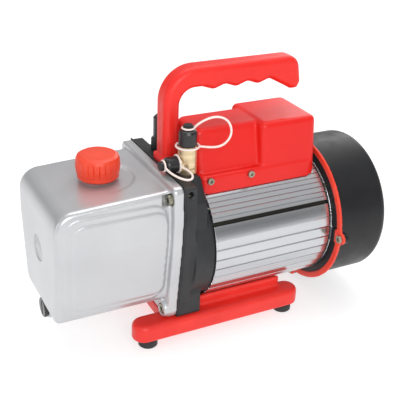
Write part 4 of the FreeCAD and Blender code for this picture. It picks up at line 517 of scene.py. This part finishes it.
# The tethers, in mm: an eye round the port's neck, an eye round the cap's knob, and a cord between them.
TETHER_RADIUS = 0.95
NECK_EYE, KNOB_EYE = (1.0, 0.9), (0.95, 0.85)       # radius of an eye's section, and its height to width
INTAKE_NECK, INTAKE_KNOB, SIDE_NECK, SIDE_KNOB = 9.5, 4.7, 7.0, 4.3     # radii of the four eyes
NECK_GAP = 1.0              # from a cap's open edge to the middle of the neck's eye
INTAKE_KNOB_DROP, SIDE_KNOB_DROP = 2.9, 4.0         # from a knob's end to the middle of its eye
LOOP_BEARING = math.radians(27.7)   # the intake loop's upright plane, turned from lengthwise towards -y
# the cords' listed points: out and up from the intake port's eye, and x, y, z from the side port's
INTAKE_LOOP = ((16.0, -0.6), (25.0, -0.8), (32.4, 4.4), (36.2, 13.0), (33.2, 23.4), (25.0, 26.9),
               (16.0, 25.0), (8.0, 19.8))
SIDE_LOOP = ((2.6, -10.5, -0.8), (4.8, -15.5, -2.2), (4.8, -20.5, -3.8), (1.2, -24.4, -4.8),
             (-4.4, -22.4, -4.6), (-10.0, -14.0, -3.0), (-12.3, -7.2, -1.0))


def tube(name, points, radius_mm):
    """Smooth tube mesh along a NURBS line with given control points."""
    curve = bpy.data.curves.new(name + "_line", "CURVE")
    curve.dimensions = "3D"
    line = curve.splines.new("NURBS")
    line.points.add(len(points) - 1)
    for knot, place in zip(line.points, points):
        knot.co = (*place, 1.0)
    line.order_u = 4
    line.use_endpoint_u = True
    curve.resolution_u = 10
    curve.bevel_depth = radius_mm * MM
    curve.bevel_resolution = 4
    curve.use_fill_caps = True
    holder = bpy.data.objects.new(name + "_line", curve)
    bpy.context.scene.collection.objects.link(holder)
    mesh = bpy.data.meshes.new_from_object(holder.evaluated_get(bpy.context.evaluated_depsgraph_get()))
    bpy.data.objects.remove(holder)
    return mesh


def eye(form, centre, axis, reach_mm, tube_mm, tall):
    """Add a moulded ring to a bmesh, oval in section."""
    turn = axis.to_track_quat("Z", "Y").to_matrix()
    steps, sides = 40, 12
    rows = []
    for k in range(steps):
        around = 2 * math.pi * k / steps
        row = []
        for j in range(sides):
            about = 2 * math.pi * j / sides
            reach = (reach_mm + tube_mm * math.cos(about)) * MM
            rise = tube_mm * tall * math.sin(about) * MM
            place = Vector((reach * math.cos(around), reach * math.sin(around), rise))
            row.append(form.verts.new(centre + turn @ place))
        rows.append(row)
    for k in range(steps):
        for j in range(sides):
            form.faces.new((rows[k][j], rows[(k + 1) % steps][j], rows[(k + 1) % steps][(j + 1) % sides],
                            rows[k][(j + 1) % sides]))


def tether(node, points, eyes):
    """Moulded link between two eyes."""
    form = bmesh.new()
    form.from_mesh(tube(node, points, TETHER_RADIUS))
    for centre, axis, reach, thick, tall in eyes:
        eye(form, centre, axis, reach, thick, tall)
    bmesh.ops.recalc_face_normals(form, faces=form.faces)
    mesh = bpy.data.meshes.new(node + "_link")
    form.to_mesh(mesh)
    form.free()
    piece = link(node + "_link", mesh, TETHER_WHITE)
    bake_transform(piece)
    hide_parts(node)


def tethers():
    """Both tethers, from the port's neck out, round and back to the cap's knob."""
    low, high, port = box_of("intake_cap")
    away = Vector((math.cos(LOOP_BEARING), -math.sin(LOOP_BEARING), 0))
    upright = Vector((0, 0, 1))
    foot = Vector((port.x, port.y, low.z - NECK_GAP * MM))
    head = Vector((port.x, port.y, high.z - INTAKE_KNOB_DROP * MM))
    loop = [foot + away * INTAKE_NECK * MM]
    for out, rise in INTAKE_LOOP:
        loop.append(foot + upright * rise * MM + away * out * MM)
    loop.append(head + away * INTAKE_KNOB * MM)
    tether("intake_tether", loop,
           [(foot, upright, INTAKE_NECK, *NECK_EYE), (head, upright, INTAKE_KNOB, *KNOB_EYE)])
    low, high, port = box_of("side_cap")
    lengthwise = Vector((1, 0, 0))
    neck = Vector((high.x + NECK_GAP * MM, port.y, port.z))
    knob = Vector((low.x + SIDE_KNOB_DROP * MM, port.y, port.z))
    loop = [neck + Vector((0, -SIDE_NECK, 0)) * MM]
    loop += [neck + Vector(step) * MM for step in SIDE_LOOP]
    loop.append(knob + Vector((0, -SIDE_KNOB, 0)) * MM)
    tether("side_tether", loop,
           [(neck, lengthwise, SIDE_NECK, *NECK_EYE), (knob, lengthwise, SIDE_KNOB, *KNOB_EYE)])


# node, finish, cell size in mm and rounds of easing
EASED = (
    ("oil_tank", CAST_SILVER, 1.15, 2),
    ("bracket", BLACK_CAST, 1.1, 5),
    ("terminal_box", RED_SHELL, 1.0, 6),
    ("base", RED_BASE, 1.1, 6),
    ("handle", RED_HANDLE, 0.9, 4),
    ("end_bell", RED_RING, 1.0, 3),
)

dress_nodes()
eased = {node: softened(node, "frame", finish, cell, rounds) for node, finish, cell, rounds in EASED}
end_bell_finish(eased["end_bell"])
bell_shade_web(eased["end_bell"])
motor_housing()
tethers()
stage()
camera()
scene = bpy.context.scene
scene.view_settings.view_transform = "Standard"
scene.view_settings.look = "None"
